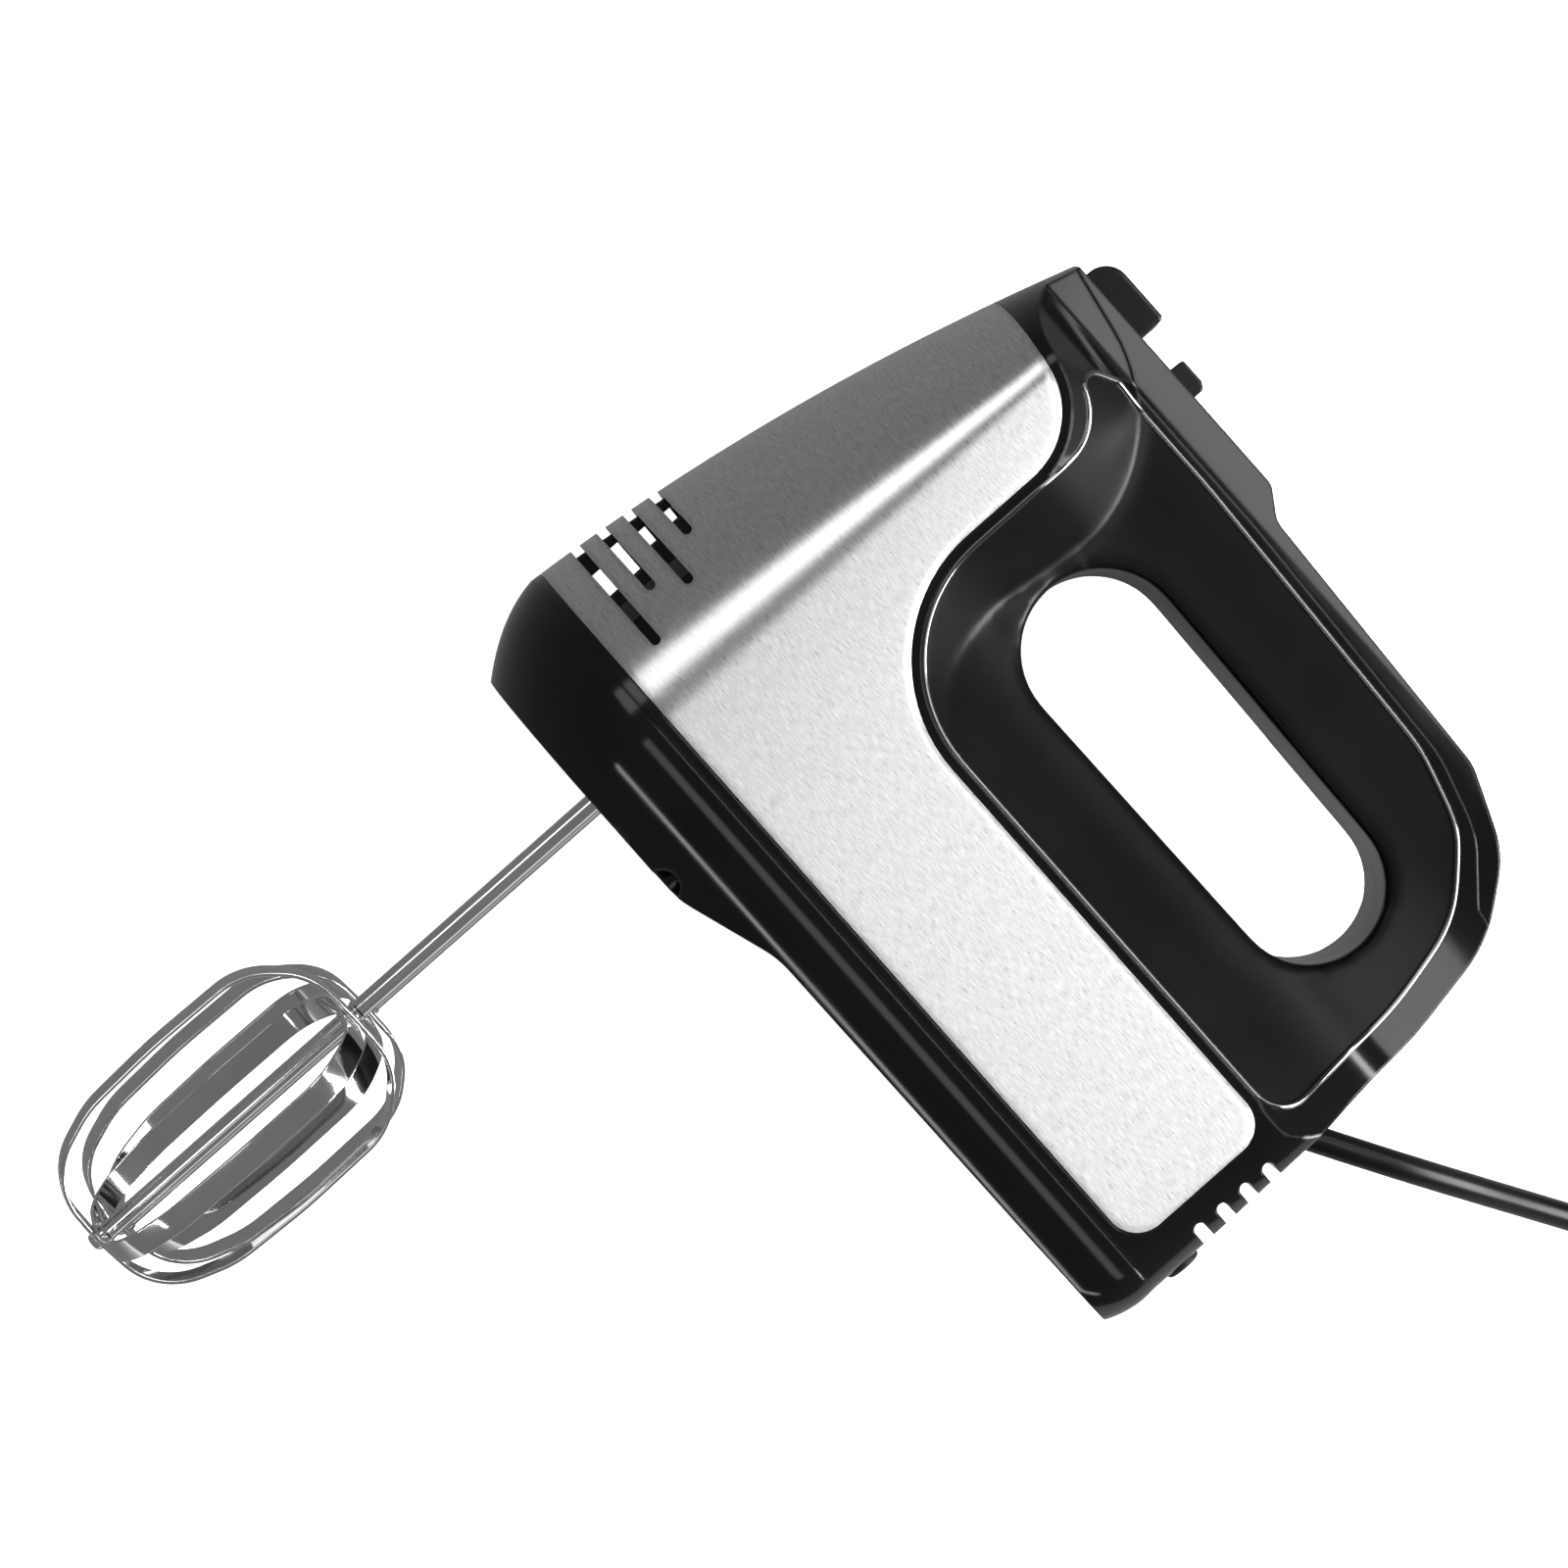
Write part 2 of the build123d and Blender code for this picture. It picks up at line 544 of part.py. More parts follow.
def make_rotor():
    """The shaft with its worm, and the core, windings, commutator and fan on it."""
    worm_low, worm_high = BEATER_Y - WORM_HALF, BEATER_Y + WORM_HALF
    lead = 2 * pi * WORM_STARTS * (WHEEL_TIP - 0.2) / WHEEL_TEETH
    turn = 360 * (worm_high - worm_low) / lead
    thread = Rectangle(2 * WORM_RADIUS, 1.6) & Circle(WORM_RADIUS)
    level = Plane(origin=(WORM_AXIS, worm_low, 0), x_dir=(1, 0, 0), z_dir=(0, 1, 0))
    section = level * (Circle(SHAFT_RADIUS) + thread)
    worm = Solid.extrude_linear_with_rotation(
        section.face(), (WORM_AXIS, worm_low, 0), (0, worm_high - worm_low, 0), turn
    )
    rear = rod_y(SHAFT_RADIUS, REAR_BEARING[1], worm_low)
    save("motor_shaft", rear + rod_y(SHAFT_RADIUS, worm_high, WORM_BEARING[2] + 1) + worm)
    back, front = FIELD
    core = tube_y(ROTOR_RADIUS, SHAFT_RADIUS, back, front)
    slot = rod_y(1.6, back - 1, front + 1, WORM_AXIS + ROTOR_RADIUS - 2.7, 0)
    for step in range(ROTOR_SLOTS):
        core -= about_motor(slot, 360 * step / ROTOR_SLOTS)
    save("rotor_core", core)
    ends = [tube_y(13, SHAFT_RADIUS, front, front + 4), tube_y(13, SHAFT_RADIUS, back - 4, back)]
    save("rotor_windings", *ends)
    save("commutator", tube_y(COMMUTATOR[0], SHAFT_RADIUS, *COMMUTATOR[1:]))
    tip, low, high = FAN
    fan = tube_y(6.5, SHAFT_RADIUS, low, high)
    blade = block((WORM_AXIS + 5.5, WORM_AXIS + tip), (low + 1.5, high - 1), (-0.6, 0.6))
    for step in range(FAN_BLADES):
        fan += about_motor(blade, 360 * step / FAN_BLADES)
    save("cooling_fan", fan)


def make_gearbox():
    """The gearbox frame and bushes, and a wheel, spindle and push pin for each beater."""
    low, high = FRAME_HEIGHT
    back, front = FRONT_BEARING[1], WORM_BEARING[2]
    frame = block((low, high), (back, front), (-26, 26))
    frame -= block((low + 3, high - 3), (back + 4, front - 4), (-30, 30))
    frame -= rod_y(FRONT_BEARING[0], back - 5, front + 5)
    bushes = []
    for side in (1, -1):
        z = side * BEATER_Z
        frame -= rod_x(BUSH_RADIUS, low - 5, high + 5, BEATER_Y, z)
        for foot in (low, high - BUSH_LENGTH):
            ring = rod_x(BUSH_RADIUS, foot, foot + BUSH_LENGTH, BEATER_Y, z)
            bore = rod_x(SPINDLE_RADIUS + RUNNING_GAP, foot - 1, foot + BUSH_LENGTH + 1, BEATER_Y, z)
            bushes.append(ring - bore)
    save("gearbox_frame", frame)
    save("spindle_bushes", *bushes)
    for letter, side in (("a", 1), ("b", -1)):
        z = side * BEATER_Z
        spindle = rod_x(SPINDLE_RADIUS, SPINDLE_FOOT, SPINDLE_TOP, BEATER_Y, z)
        spindle -= rod_x(STEM_RADIUS + RUNNING_GAP, SPINDLE_FOOT - 1, SPINDLE_TOP + 1, BEATER_Y, z)
        slot = (WING_REACH + 0.2, WING_THICKNESS / 2 + 0.2)
        wing_slot = block((-40, WING_SLOT_TOP), (-slot[0], slot[0]), (-slot[1], slot[1]))
        spindle -= turned(wing_slot, letter)
        save(f"spindle_{letter}", spindle)
        save(f"worm_wheel_{letter}", worm_wheel(z))
        radius, low, high = PIN_HEAD
        pin = rod_x(STEM_RADIUS, STEM_TOP + 0.2, low, BEATER_Y, z)
        save(f"push_pin_{letter}", pin + rod_x(radius, low, high, BEATER_Y, z))


def turned(shape, letter):
    """A shape drawn about the X axis, set on beater a's or b's axis at its resting phase."""
    phase, side = (PHASE_A, 1) if letter == "a" else (PHASE_B, -1)
    return Pos(0, BEATER_Y, side * BEATER_Z) * Rot(phase, 0, 0) * shape


def worm_wheel(z):
    """A toothed wheel with a hub, round a spindle."""
    root = WHEEL_TIP - 2.2
    face = Circle(root)
    for step in range(WHEEL_TEETH):
        angle = 360 * (step + 0.5) / WHEEL_TEETH
        tooth = Pos(root + 0.9, 0) * Trapezoid(2.0, 2.6, 75, rotation=-90)
        face += Rot(0, 0, angle) * tooth
    face -= Circle(SPINDLE_RADIUS)
    foot = Plane(origin=(WORM_AXIS - WHEEL_THICKNESS / 2, BEATER_Y, z), x_dir=(0, 1, 0), z_dir=(1, 0, 0))
    return foot * extrude(face, WHEEL_THICKNESS)


def cage_outline():
    """Side view of a hoop's outer face: a flat top, bowed sides and a rounder foot."""
    right = [(CAGE_TOP, 0), (CAGE_TOP - 0.4, 14), (CAGE_TOP - 11, 24.4), (-134, CAGE_RADIUS + 0.1)]
    right += [(-153, CAGE_RADIUS - 0.9), (CAGE_BOTTOM + 1, 17.5), (CAGE_BOTTOM, 0)]
    left = [(x, -y) for x, y in reversed(right[1:-1])]
    radii = [12, 13, 110, 14, 12]
    return outline(right + left, [0, *radii, 0, *reversed(radii)])


def hoop(inset, angle, letter):
    """One closed flat-wire hoop, set in from the outer one by inset."""
    outer = cage_outline() if inset == 0 else offset(cage_outline(), -inset)
    ring = outer - offset(cage_outline(), -(inset + HOOP_THICKNESS))
    solid = extrude(ring, amount=HOOP_WIDTH / 2, both=True)
    solid -= rod_x(STEM_RADIUS, CAGE_BOTTOM - 5, 10, 0, 0)
    return turned(Rot(angle, 0, 0) * solid, letter)


def make_beaters():
    """Each beater: a stem with drive wings and a riveted foot, and two crossed hoops."""
    for letter in "ab":
        stem = rod_x(STEM_RADIUS, LOWEST_X, STEM_TOP, 0, 0)
        half = WING_THICKNESS / 2
        stem += block(WING_SPAN, (-WING_REACH, WING_REACH), (-half, half))
        save(f"beater_stem_{letter}", turned(stem, letter))
        save(f"outer_hoop_{letter}", hoop(0, 0, letter))
        save(f"inner_hoop_{letter}", hoop(HOOP_THICKNESS + HOOP_CLEARANCE, 90, letter))


def lead_tube(points):
    """A round lead along straight runs joined by arcs, with its radii and length printed."""
    stops = [Vector(*point) for point in points]
    radii = []
    for before, here, after in zip(stops, stops[1:], stops[2:]):
        turn = radians((here - before).get_angle(after - here))
        shorter = min((here - before).length, (after - here).length)
        radii.append(0.45 * shorter / tan(turn / 2))
    path = FilletPolyline(*stops, radius=radii)
    tube = sweep(Plane(origin=path @ 0, z_dir=path % 0) * Circle(CORD_RADIUS), path=path)
    print("radii", [round(radius, 1) for radius in radii], "length", round(path.length, 1))
    print("volume ratio", round(tube.volume / (pi * CORD_RADIUS**2 * path.length), 4))
    return tube


def cord_route():
    """Where the lead runs: out of its relief, down to the surface and up to its coil."""
    on_floor = FLOOR + CORD_RADIUS
    route = [(*CORD_EXIT, 0), (41.3, -142.6, -0.8), (51.5, -159.9, -10), (61.6, -177.1, -25.5)]
    return route + [(71.7, -194.3, -38), (81.4, -210.7, on_floor)]


def tail_route():
    """The lead's last stretch, from the top of the coil to the plug beside it."""
    steps = [(40.5, 12, 8.0), (44.2, 26, 5.2), (44.6, 41, 5.0), (44.0, 56, PLUG_THICKNESS / 2)]
    return [(COIL_CENTRE[0] + x, COIL_CENTRE[1] + y, FLOOR + height) for x, y, height in steps]


def make_lead():
    """The strain relief, clamp, lead, coil, tail and plug."""
    foot = Plane(origin=along_exit(RELIEF_LENGTH), z_dir=cord_direction())
    wide, narrow = RELIEF_RADII
    cone = loft([foot * Circle(wide), foot.offset(RELIEF_LENGTH) * Circle(narrow)])
    behind = foot.offset(-RELIEF_NECK)
    neck = behind * extrude(Circle(wide), RELIEF_NECK)
    collar = behind * extrude(Circle(RELIEF_FLANGE[0]), -RELIEF_FLANGE[1])
    save("cord_strain_relief", cone + neck + collar)
    save("cord_clamp", block((11, 27), (-92, -88), (-9, 9)))

    save("cord", lead_tube(cord_route()))
    ring = Pos(*COIL_CENTRE, FLOOR + COIL_HEIGHT / 2) * Cylinder(COIL_OUTER, COIL_HEIGHT)
    ring -= Pos(*COIL_CENTRE, FLOOR) * Cylinder(COIL_INNER, 4 * COIL_HEIGHT)
    save("cord_coil", ring)
    tail = tail_route()
    save("cord_tail", lead_tube(tail))
    end = Vector(*tail[-1])
    onward = end - Vector(*tail[-2])
    heading = Vector(onward.X, onward.Y, 0).normalized()
    along = Plane(origin=end, x_dir=(0, 0, 1), z_dir=heading)
    thickness, width, length = PLUG_NECK
    body = extrude(along * RectangleRounded(thickness, width, 3.0), length)
    body += extrude(along.offset(length) * RectangleRounded(PLUG_THICKNESS, PLUG_WIDTH, 4), PLUG_LENGTH)
    save("plug_body", body)
    pins = []
    for side in (1, -1):
        foot = along.offset(length + PLUG_LENGTH) * Pos(0, side * PIN_OFFSET)
        pins.append(extrude(foot * Circle(PIN_RADIUS), PIN_LENGTH))
    save("plug_pins", *pins)


def main():
    os.makedirs("parts", exist_ok=True)
    make_casings()
    make_pan()
    make_controls()
    make_field()
    make_brushes()
    make_rotor()
    make_gearbox()
    make_beaters()
    make_lead()
    print("frame shift", [round(value, 3) for value in FRAME_SHIFT])


if __name__ == "__main__":
    main()
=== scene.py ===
import json
import logging
from dataclasses import dataclass
from enum import Enum
from math import cos, hypot, pi, radians, sin, tan

import bmesh
import bpy
from mathutils import Matrix, Vector


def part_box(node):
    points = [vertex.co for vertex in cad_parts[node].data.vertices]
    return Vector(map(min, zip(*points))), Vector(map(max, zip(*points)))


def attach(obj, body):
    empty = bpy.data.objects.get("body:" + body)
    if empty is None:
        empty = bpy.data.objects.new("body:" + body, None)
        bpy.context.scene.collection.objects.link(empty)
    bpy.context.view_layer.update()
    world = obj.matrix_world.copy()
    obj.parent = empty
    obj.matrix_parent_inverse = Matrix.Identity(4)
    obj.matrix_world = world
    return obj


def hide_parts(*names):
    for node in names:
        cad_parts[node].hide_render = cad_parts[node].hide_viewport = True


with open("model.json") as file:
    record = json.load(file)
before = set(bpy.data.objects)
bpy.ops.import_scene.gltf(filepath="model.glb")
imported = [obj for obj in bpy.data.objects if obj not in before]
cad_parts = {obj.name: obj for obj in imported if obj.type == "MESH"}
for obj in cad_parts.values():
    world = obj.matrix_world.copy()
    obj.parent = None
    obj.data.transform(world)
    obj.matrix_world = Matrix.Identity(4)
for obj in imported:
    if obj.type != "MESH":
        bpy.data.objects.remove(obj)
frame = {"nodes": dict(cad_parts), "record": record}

# Lengths are in millimetres in the mixer's own working axes (X up in use from just above the seam,
# Y towards the nose, Z to the right of the mid plane), and placed() brings a piece into the frame.

LOG = logging.getLogger("mixer")
MM = 0.001
HALF_WIDTH = 43.0
EJECT_TOP = 125.2
NOSE_FRONT = 67.9
BEATER_Y = 23.5
BEATER_Z = 17.5
ARC_STEP = radians(5)
LEAST_RADIUS = 0.3
HALF_ROUND = 0.99
FAR_FRONT = 90.0
FAR_REAR = -140.0
SHIFT = Vector(
    (
        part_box("eject_button")[1].x - EJECT_TOP * MM,
        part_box("lower_housing")[1].y - NOSE_FRONT * MM,
        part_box("steel_shroud")[1].z - HALF_WIDTH * MM,
    )
)

Corner = tuple[float, float, float]

# Y, Z and the seat's height of each pair of housing screws.
SCREWS = ((0.5, 32.5, -24.3), (-110.5, 34.0, -19.2))


class Cut(Enum):
    """What a boolean leaves of its target."""

    KEEP_INSIDE = "INTERSECT"
    TAKE_AWAY = "DIFFERENCE"
    JOIN = "UNION"


# ---------------------------------------------------------------- outlines


def arc(here: Vector, before: Vector, after: Vector, radius: float, steps: int = 0) -> list[Vector]:
    """Rounds one corner of an outline.

    Args:
        here: the corner.
        before: the corner before it.
        after: the corner after it.
        radius: the arc's radius.
        steps: how many steps the arc has; 0 gives one for each ARC_STEP.

    Returns:
        The arc's points, with both ends.
    """
    back, onward = (before - here).normalized(), (after - here).normalized()
    opening = back.angle(onward)
    turn = pi - opening
    run = radius / tan(opening / 2)
    centre = here + (back + onward).normalized() * radius / sin(opening / 2)
    start = here + back * run - centre
    side = 1 if back.x * onward.y - back.y * onward.x < 0 else -1
    steps = steps or max(2, round(turn / ARC_STEP))
    points = []
    for step in range(steps + 1):
        angle = side * turn * step / steps
        x = start.x * cos(angle) - start.y * sin(angle)
        y = start.x * sin(angle) + start.y * cos(angle)
        points.append(centre + Vector((x, y)))
    return points


def rounded(corners: list[Corner]) -> list[Vector]:
    """Follows straight runs and rounds each corner.

    Args:
        corners: x, y and radius of each corner, in order round a closed outline.

    Returns:
        The outline's points, without a repeated last one.
    """
    points: list[Vector] = []
    for index, (x, y, radius) in enumerate(corners):
        here = Vector((x, y))
        if radius <= 0:
            points.append(here)
        else:
            after = corners[(index + 1) % len(corners)]
            points += arc(here, Vector(corners[index - 1][:2]), Vector(after[:2]), radius)
    return points


def grown(corners: list[Corner], amount: float) -> list[Corner]:
    """Moves an outline outwards, or inwards where the amount is negative.

    Args:
        corners: the outline's corners, in either order.
        amount: how far each side moves out.

    Returns:
        The moved corners, with radii that keep the sides parallel.
    """
    count = len(corners)
    spots = [Vector(corner[:2]) for corner in corners]
    area = sum(a.x * b.y - b.x * a.y for a, b in zip(spots, spots[1:] + spots[:1]))
    turning = 1 if area > 0 else -1
    moved: list[Corner] = []
    for index, spot in enumerate(spots):
        into = (spot - spots[index - 1]).normalized()
        away = (spots[(index + 1) % count] - spot).normalized()
        left_in = Vector((into.y, -into.x)) * turning
        left_out = Vector((away.y, -away.x)) * turning
        middle = (left_in + left_out).normalized()
        reach = amount / max(0.2, middle.dot(left_in))
        convex = (into.x * away.y - into.y * away.x) * turning > 0
        radius = corners[index][2]
        if radius > 0:
            radius = max(LEAST_RADIUS, radius + (amount if convex else -amount))
        moved.append((spot.x + middle.x * reach, spot.y + middle.y * reach, radius))
    return moved


def through_three(place: float, levels: tuple[float, ...], values: tuple[float, ...]) -> float:
    """The value at a place, along a parabola through three levels.

    Args:
        place: where the value is wanted.
        levels: the three places where it is known.
        values: its value at each of them.

    Returns:
        The value.
    """
    total = 0.0
    for level, value in zip(levels, values):
        one, two = [other for other in levels if other != level]
        total += (place - one) * (place - two) / ((level - one) * (level - two)) * value
    return total


# ---------------------------------------------------------------- mesh work


def rings_to_solid(rings: list[list[Vector]]) -> bmesh.types.BMesh:
    """Extrudes a loop of edges from ring to ring and closes both ends.

    Args:
        rings: loops of points that match one to one.

    Returns:
        A closed solid with its faces pointing out.
    """
    bm = bmesh.new()
    loop = [bm.verts.new(point) for point in rings[0]]
    bm.faces.new(loop)
    bm.verts.index_update()
    for ring in rings[1:]:
        edges = [bm.edges.get((a, b)) for a, b in zip(loop, loop[1:] + loop[:1])]
        made = bmesh.ops.extrude_edge_only(bm, edges=edges)
        fresh = {v for v in made["geom"] if isinstance(v, bmesh.types.BMVert)}
        nexts = []
        for vert, point in zip(loop, ring):
            twin = next(e.other_vert(vert) for e in vert.link_edges if e.other_vert(vert) in fresh)
            twin.co = point
            nexts.append(twin)
        loop = nexts
    bm.faces.new(loop)
    bmesh.ops.recalc_face_normals(bm, faces=bm.faces)
    return bm


def prism(points: list[Vector], low: float = -60.0, high: float = 60.0) -> bmesh.types.BMesh:
    """A side-view outline carried across the width."""
    return rings_to_solid([[Vector((p.x, p.y, z)) for p in points] for z in (low, high)])


def block(x: tuple[float, float], y: tuple[float, float], z: tuple[float, float]) -> bmesh.types.BMesh:
    """A box from its span along each axis.

    Args:
        x: where it starts and ends along X.
        y: the same along Y.
        z: the same along Z.

    Returns:
        The box.
    """
    bm = bmesh.new()
    bmesh.ops.create_cube(bm, size=1.0)
    size = Vector((x[1] - x[0], y[1] - y[0], z[1] - z[0]))
    middle = Vector((x[1] + x[0], y[1] + y[0], z[1] + z[0])) / 2
    bmesh.ops.scale(bm, vec=size, verts=bm.verts)
    bmesh.ops.translate(bm, vec=middle, verts=bm.verts)
    return bm


def rod(radius: float, low: float, high: float, y: float, z: float, sides: int = 48) -> bmesh.types.BMesh:
    """A cylinder along X.

    Args:
        radius: its radius.
        low: where it starts.
        high: where it ends.
        y: where its axis is along Y.
        z: where its axis is along Z.
        sides: how many sides its wall has.

    Returns:
        The cylinder.
    """
    bm = bmesh.new()
    bmesh.ops.create_cone(
        bm, cap_ends=True, segments=sides, radius1=radius, radius2=radius, depth=high - low,
        matrix=Matrix.Translation(((low + high) / 2, y, z)) @ Matrix.Rotation(pi / 2, 4, "Y"),
    )
    return bm


def turned(profile: list[tuple[float, float]], sides: int = 64) -> bmesh.types.BMesh:
    """Spins a profile about X.

    Args:
        profile: x and radius of each point, from one end to the other; a radius of 0 closes an end.
        sides: how many steps the full turn has.

    Returns:
        The turned solid, about the X axis.
    """
    bm = bmesh.new()
    verts = [bm.verts.new((x, radius, 0.0)) for x, radius in profile]
    edges = [bm.edges.new(pair) for pair in zip(verts, verts[1:])]
    bmesh.ops.spin(
        bm, geom=verts + edges, cent=(0, 0, 0), axis=(1, 0, 0), angle=2 * pi, steps=sides, use_merge=True
    )
    bmesh.ops.remove_doubles(bm, verts=bm.verts, dist=1e-4)
    bmesh.ops.recalc_face_normals(bm, faces=bm.faces)
    return bm


def rounded_edges(bm: bmesh.types.BMesh, width: float, segments: int = 3, sharper_than: float = 30) -> None:
    """Bevels every edge that turns by more than an angle in degrees.

    Args:
        bm: the shape.
        width: the bevel's width.
        segments: how many steps it has.
        sharper_than: the angle in degrees.
    """
    limit = radians(sharper_than)
    edges = [e for e in bm.edges if e.is_manifold and e.calc_face_angle(0) > limit]
    bmesh.ops.bevel(
        bm, geom=edges, offset=width, offset_type="OFFSET", segments=segments, profile=0.5,
        affect="EDGES", clamp_overlap=True, material=-1,
    )


def as_object(bm: bmesh.types.BMesh, name: str) -> bpy.types.Object:
    """Puts a bmesh in the scene as an object, and frees it.

    Args:
        bm: the shape, which is used up.
        name: the object's name.

    Returns:
        The object.
    """
    mesh = bpy.data.meshes.new(name)
    bm.to_mesh(mesh)
    bm.free()
    thing = bpy.data.objects.new(name, mesh)
    bpy.context.scene.collection.objects.link(thing)
    return thing


def carve(target: bpy.types.Object, tool: bmesh.types.BMesh | bpy.types.Object, cut: Cut) -> bpy.types.Object:
    """Applies one boolean and drops a tool that was made for it.

    Args:
        target: the object that is cut.
        tool: a bmesh, which is used up, or an object, which stays.
        cut: what is left of the target.

    Returns:
        The target.
    """
    made_here = isinstance(tool, bmesh.types.BMesh)
    other = as_object(tool, "tool") if made_here else tool
    boolean = target.modifiers.new("carve", "BOOLEAN")
    boolean.solver = "EXACT"
    boolean.operation = cut.value
    boolean.object = other
    settle(target)
    if made_here:
        discard(other)
    return target


def settle(thing: bpy.types.Object) -> None:
    """Applies an object's modifiers to its mesh.

    Args:
        thing: the object.
    """
    bpy.context.view_layer.update()
    shaped = bpy.data.meshes.new_from_object(thing.evaluated_get(bpy.context.evaluated_depsgraph_get()))
    thing.modifiers.clear()
    old = thing.data
    thing.data = shaped
    bpy.data.meshes.remove(old)


def discard(*things: bpy.types.Object) -> None:
    """Removes working objects and their meshes.

    Args:
        *things: the objects.
    """
    for thing in things:
        mesh = thing.data
        bpy.data.objects.remove(thing)
        bpy.data.meshes.remove(mesh)


def copied(thing: bpy.types.Object, name: str) -> bpy.types.Object:
    """A copy of an object with its own mesh.

    Args:
        thing: the object.
        name: the copy's name.

    Returns:
        The copy.
    """
    twin = bpy.data.objects.new(name, thing.data.copy())
    bpy.context.scene.collection.objects.link(twin)
    return twin


def gathered(parts: list[bmesh.types.BMesh]) -> bmesh.types.BMesh:
    """Puts several shapes side by side in one bmesh.

    Args:
        parts: the shapes, which are used up.

    Returns:
        The whole.
    """
    whole = bmesh.new()
    for part in parts:
        mesh = bpy.data.meshes.new("part")
        part.to_mesh(mesh)
        part.free()
        whole.from_mesh(mesh)
        bpy.data.meshes.remove(mesh)
    return whole


def placed(
    thing: bpy.types.Object, name: str, finish: bpy.types.Material, body: str, nodes: tuple[str, ...],
    smooth: float = 32.0,
) -> bpy.types.Object:
    """Args:
        thing: the piece, in millimetres in the working axes.
        name: what the piece is called.
        finish: its first material, kept if the mesh has its own already.
        body: the moving body that it rides on.
        nodes: the solids that it stands for.
        smooth: edges that turn by more than this many degrees stay sharp.

    Returns:
        The piece.
    """
    thing.name = name
    thing.data.name = name
    mesh = thing.data
    mesh.transform(Matrix.Translation(SHIFT) @ Matrix.Scale(MM, 4))
    if not any(mesh.materials):
        mesh.materials.clear()
        mesh.materials.append(finish)
    mesh.shade_smooth()
    mesh.set_sharp_from_angle(angle=radians(smooth))
    weights = thing.modifiers.new("weights", "WEIGHTED_NORMAL")
    weights.keep_sharp = True
    if nodes:
        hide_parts(*nodes)
    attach(thing, body)
    LOG.info("%s: %d faces on %s", name, len(mesh.polygons), body)
    return thing


# ---------------------------------------------------------------- finishes


def group_of(name: str, inputs: dict[str, float], outputs: tuple[str, ...]) -> bpy.types.NodeTree:
    """Starts a shader node group.

    Args:
        name: the group's name.
        inputs: each number input with its default.
        outputs: the name of each output.

    Returns:
        The group's tree, with input and output nodes named In and Out.
    """
    tree = bpy.data.node_groups.new(name, "ShaderNodeTree")
    for label, value in inputs.items():
        socket = tree.interface.new_socket(label, in_out="INPUT", socket_type="NodeSocketFloat")
        socket.default_value = value
    for label in outputs:
        tree.interface.new_socket(label, in_out="OUTPUT", socket_type="NodeSocketFloat")
    tree.nodes.new("NodeGroupInput").name = "In"
    tree.nodes.new("NodeGroupOutput").name = "Out"
    return tree


def brushed_group() -> bpy.types.NodeTree:
    """Fine lines along the sheet's length with short dashes among them.

    Returns:
        The group, which puts out the lines.
    """
    tree = group_of("brushed_lines", {"Fineness": 900.0, "Dash": 40.0}, ("Lines",))
    nodes, links = tree.nodes, tree.links
    coordinate = nodes.new("ShaderNodeTexCoord")
    split = nodes.new("ShaderNodeSeparateXYZ")
    links.new(coordinate.outputs["Object"], split.inputs[0])
    joined = nodes.new("ShaderNodeCombineXYZ")
    for axis, factor in (("X", "Fineness"), ("Y", "Dash"), ("Z", "Dash")):
        stretched = nodes.new("ShaderNodeMath")
        stretched.operation = "MULTIPLY"
        links.new(split.outputs[axis], stretched.inputs[0])
        links.new(nodes["In"].outputs[factor], stretched.inputs[1])
        links.new(stretched.outputs[0], joined.inputs[axis])
    lines = nodes.new("ShaderNodeTexNoise")
    lines.inputs["Scale"].default_value = 1.0
    lines.inputs["Detail"].default_value = 3.0
    lines.inputs["Roughness"].default_value = 0.6
    links.new(joined.outputs[0], lines.inputs["Vector"])
    links.new(lines.outputs["Fac"], nodes["Out"].inputs["Lines"])
    return tree


def grain_group() -> bpy.types.NodeTree:
    """Fine pebbled grain with slow clouds, for moulded and cast surfaces.

    Returns:
        The group, which puts out the grain and the clouds.
    """
    tree = group_of("fine_grain", {"Grain": 2500.0, "Clouds": 30.0}, ("Grain", "Clouds"))
    nodes, links = tree.nodes, tree.links
    coordinate = nodes.new("ShaderNodeTexCoord")
    for name in ("Grain", "Clouds"):
        noise = nodes.new("ShaderNodeTexNoise")
        noise.inputs["Detail"].default_value = 2.0
        links.new(coordinate.outputs["Object"], noise.inputs["Vector"])
        links.new(nodes["In"].outputs[name], noise.inputs["Scale"])
        links.new(noise.outputs["Fac"], nodes["Out"].inputs[name])
    return tree


BRUSHED = brushed_group()
GRAIN = grain_group()


def spread(
    nodes: bpy.types.Nodes, links: bpy.types.NodeLinks, source: bpy.types.NodeSocket, low: float, high: float
) -> bpy.types.NodeSocket:
    """Maps the middle of a noise to a range.

    Args:
        nodes: the material's nodes.
        links: the material's links.
        source: the noise.
        low: the value where the noise is low.
        high: the value where it is high.

    Returns:
        The mapped socket.
    """
    mapped = nodes.new("ShaderNodeMapRange")
    mapped.inputs["From Min"].default_value = 0.3
    mapped.inputs["From Max"].default_value = 0.7
    mapped.inputs["To Min"].default_value = low
    mapped.inputs["To Max"].default_value = high
    links.new(source, mapped.inputs["Value"])
    return mapped.outputs["Result"]


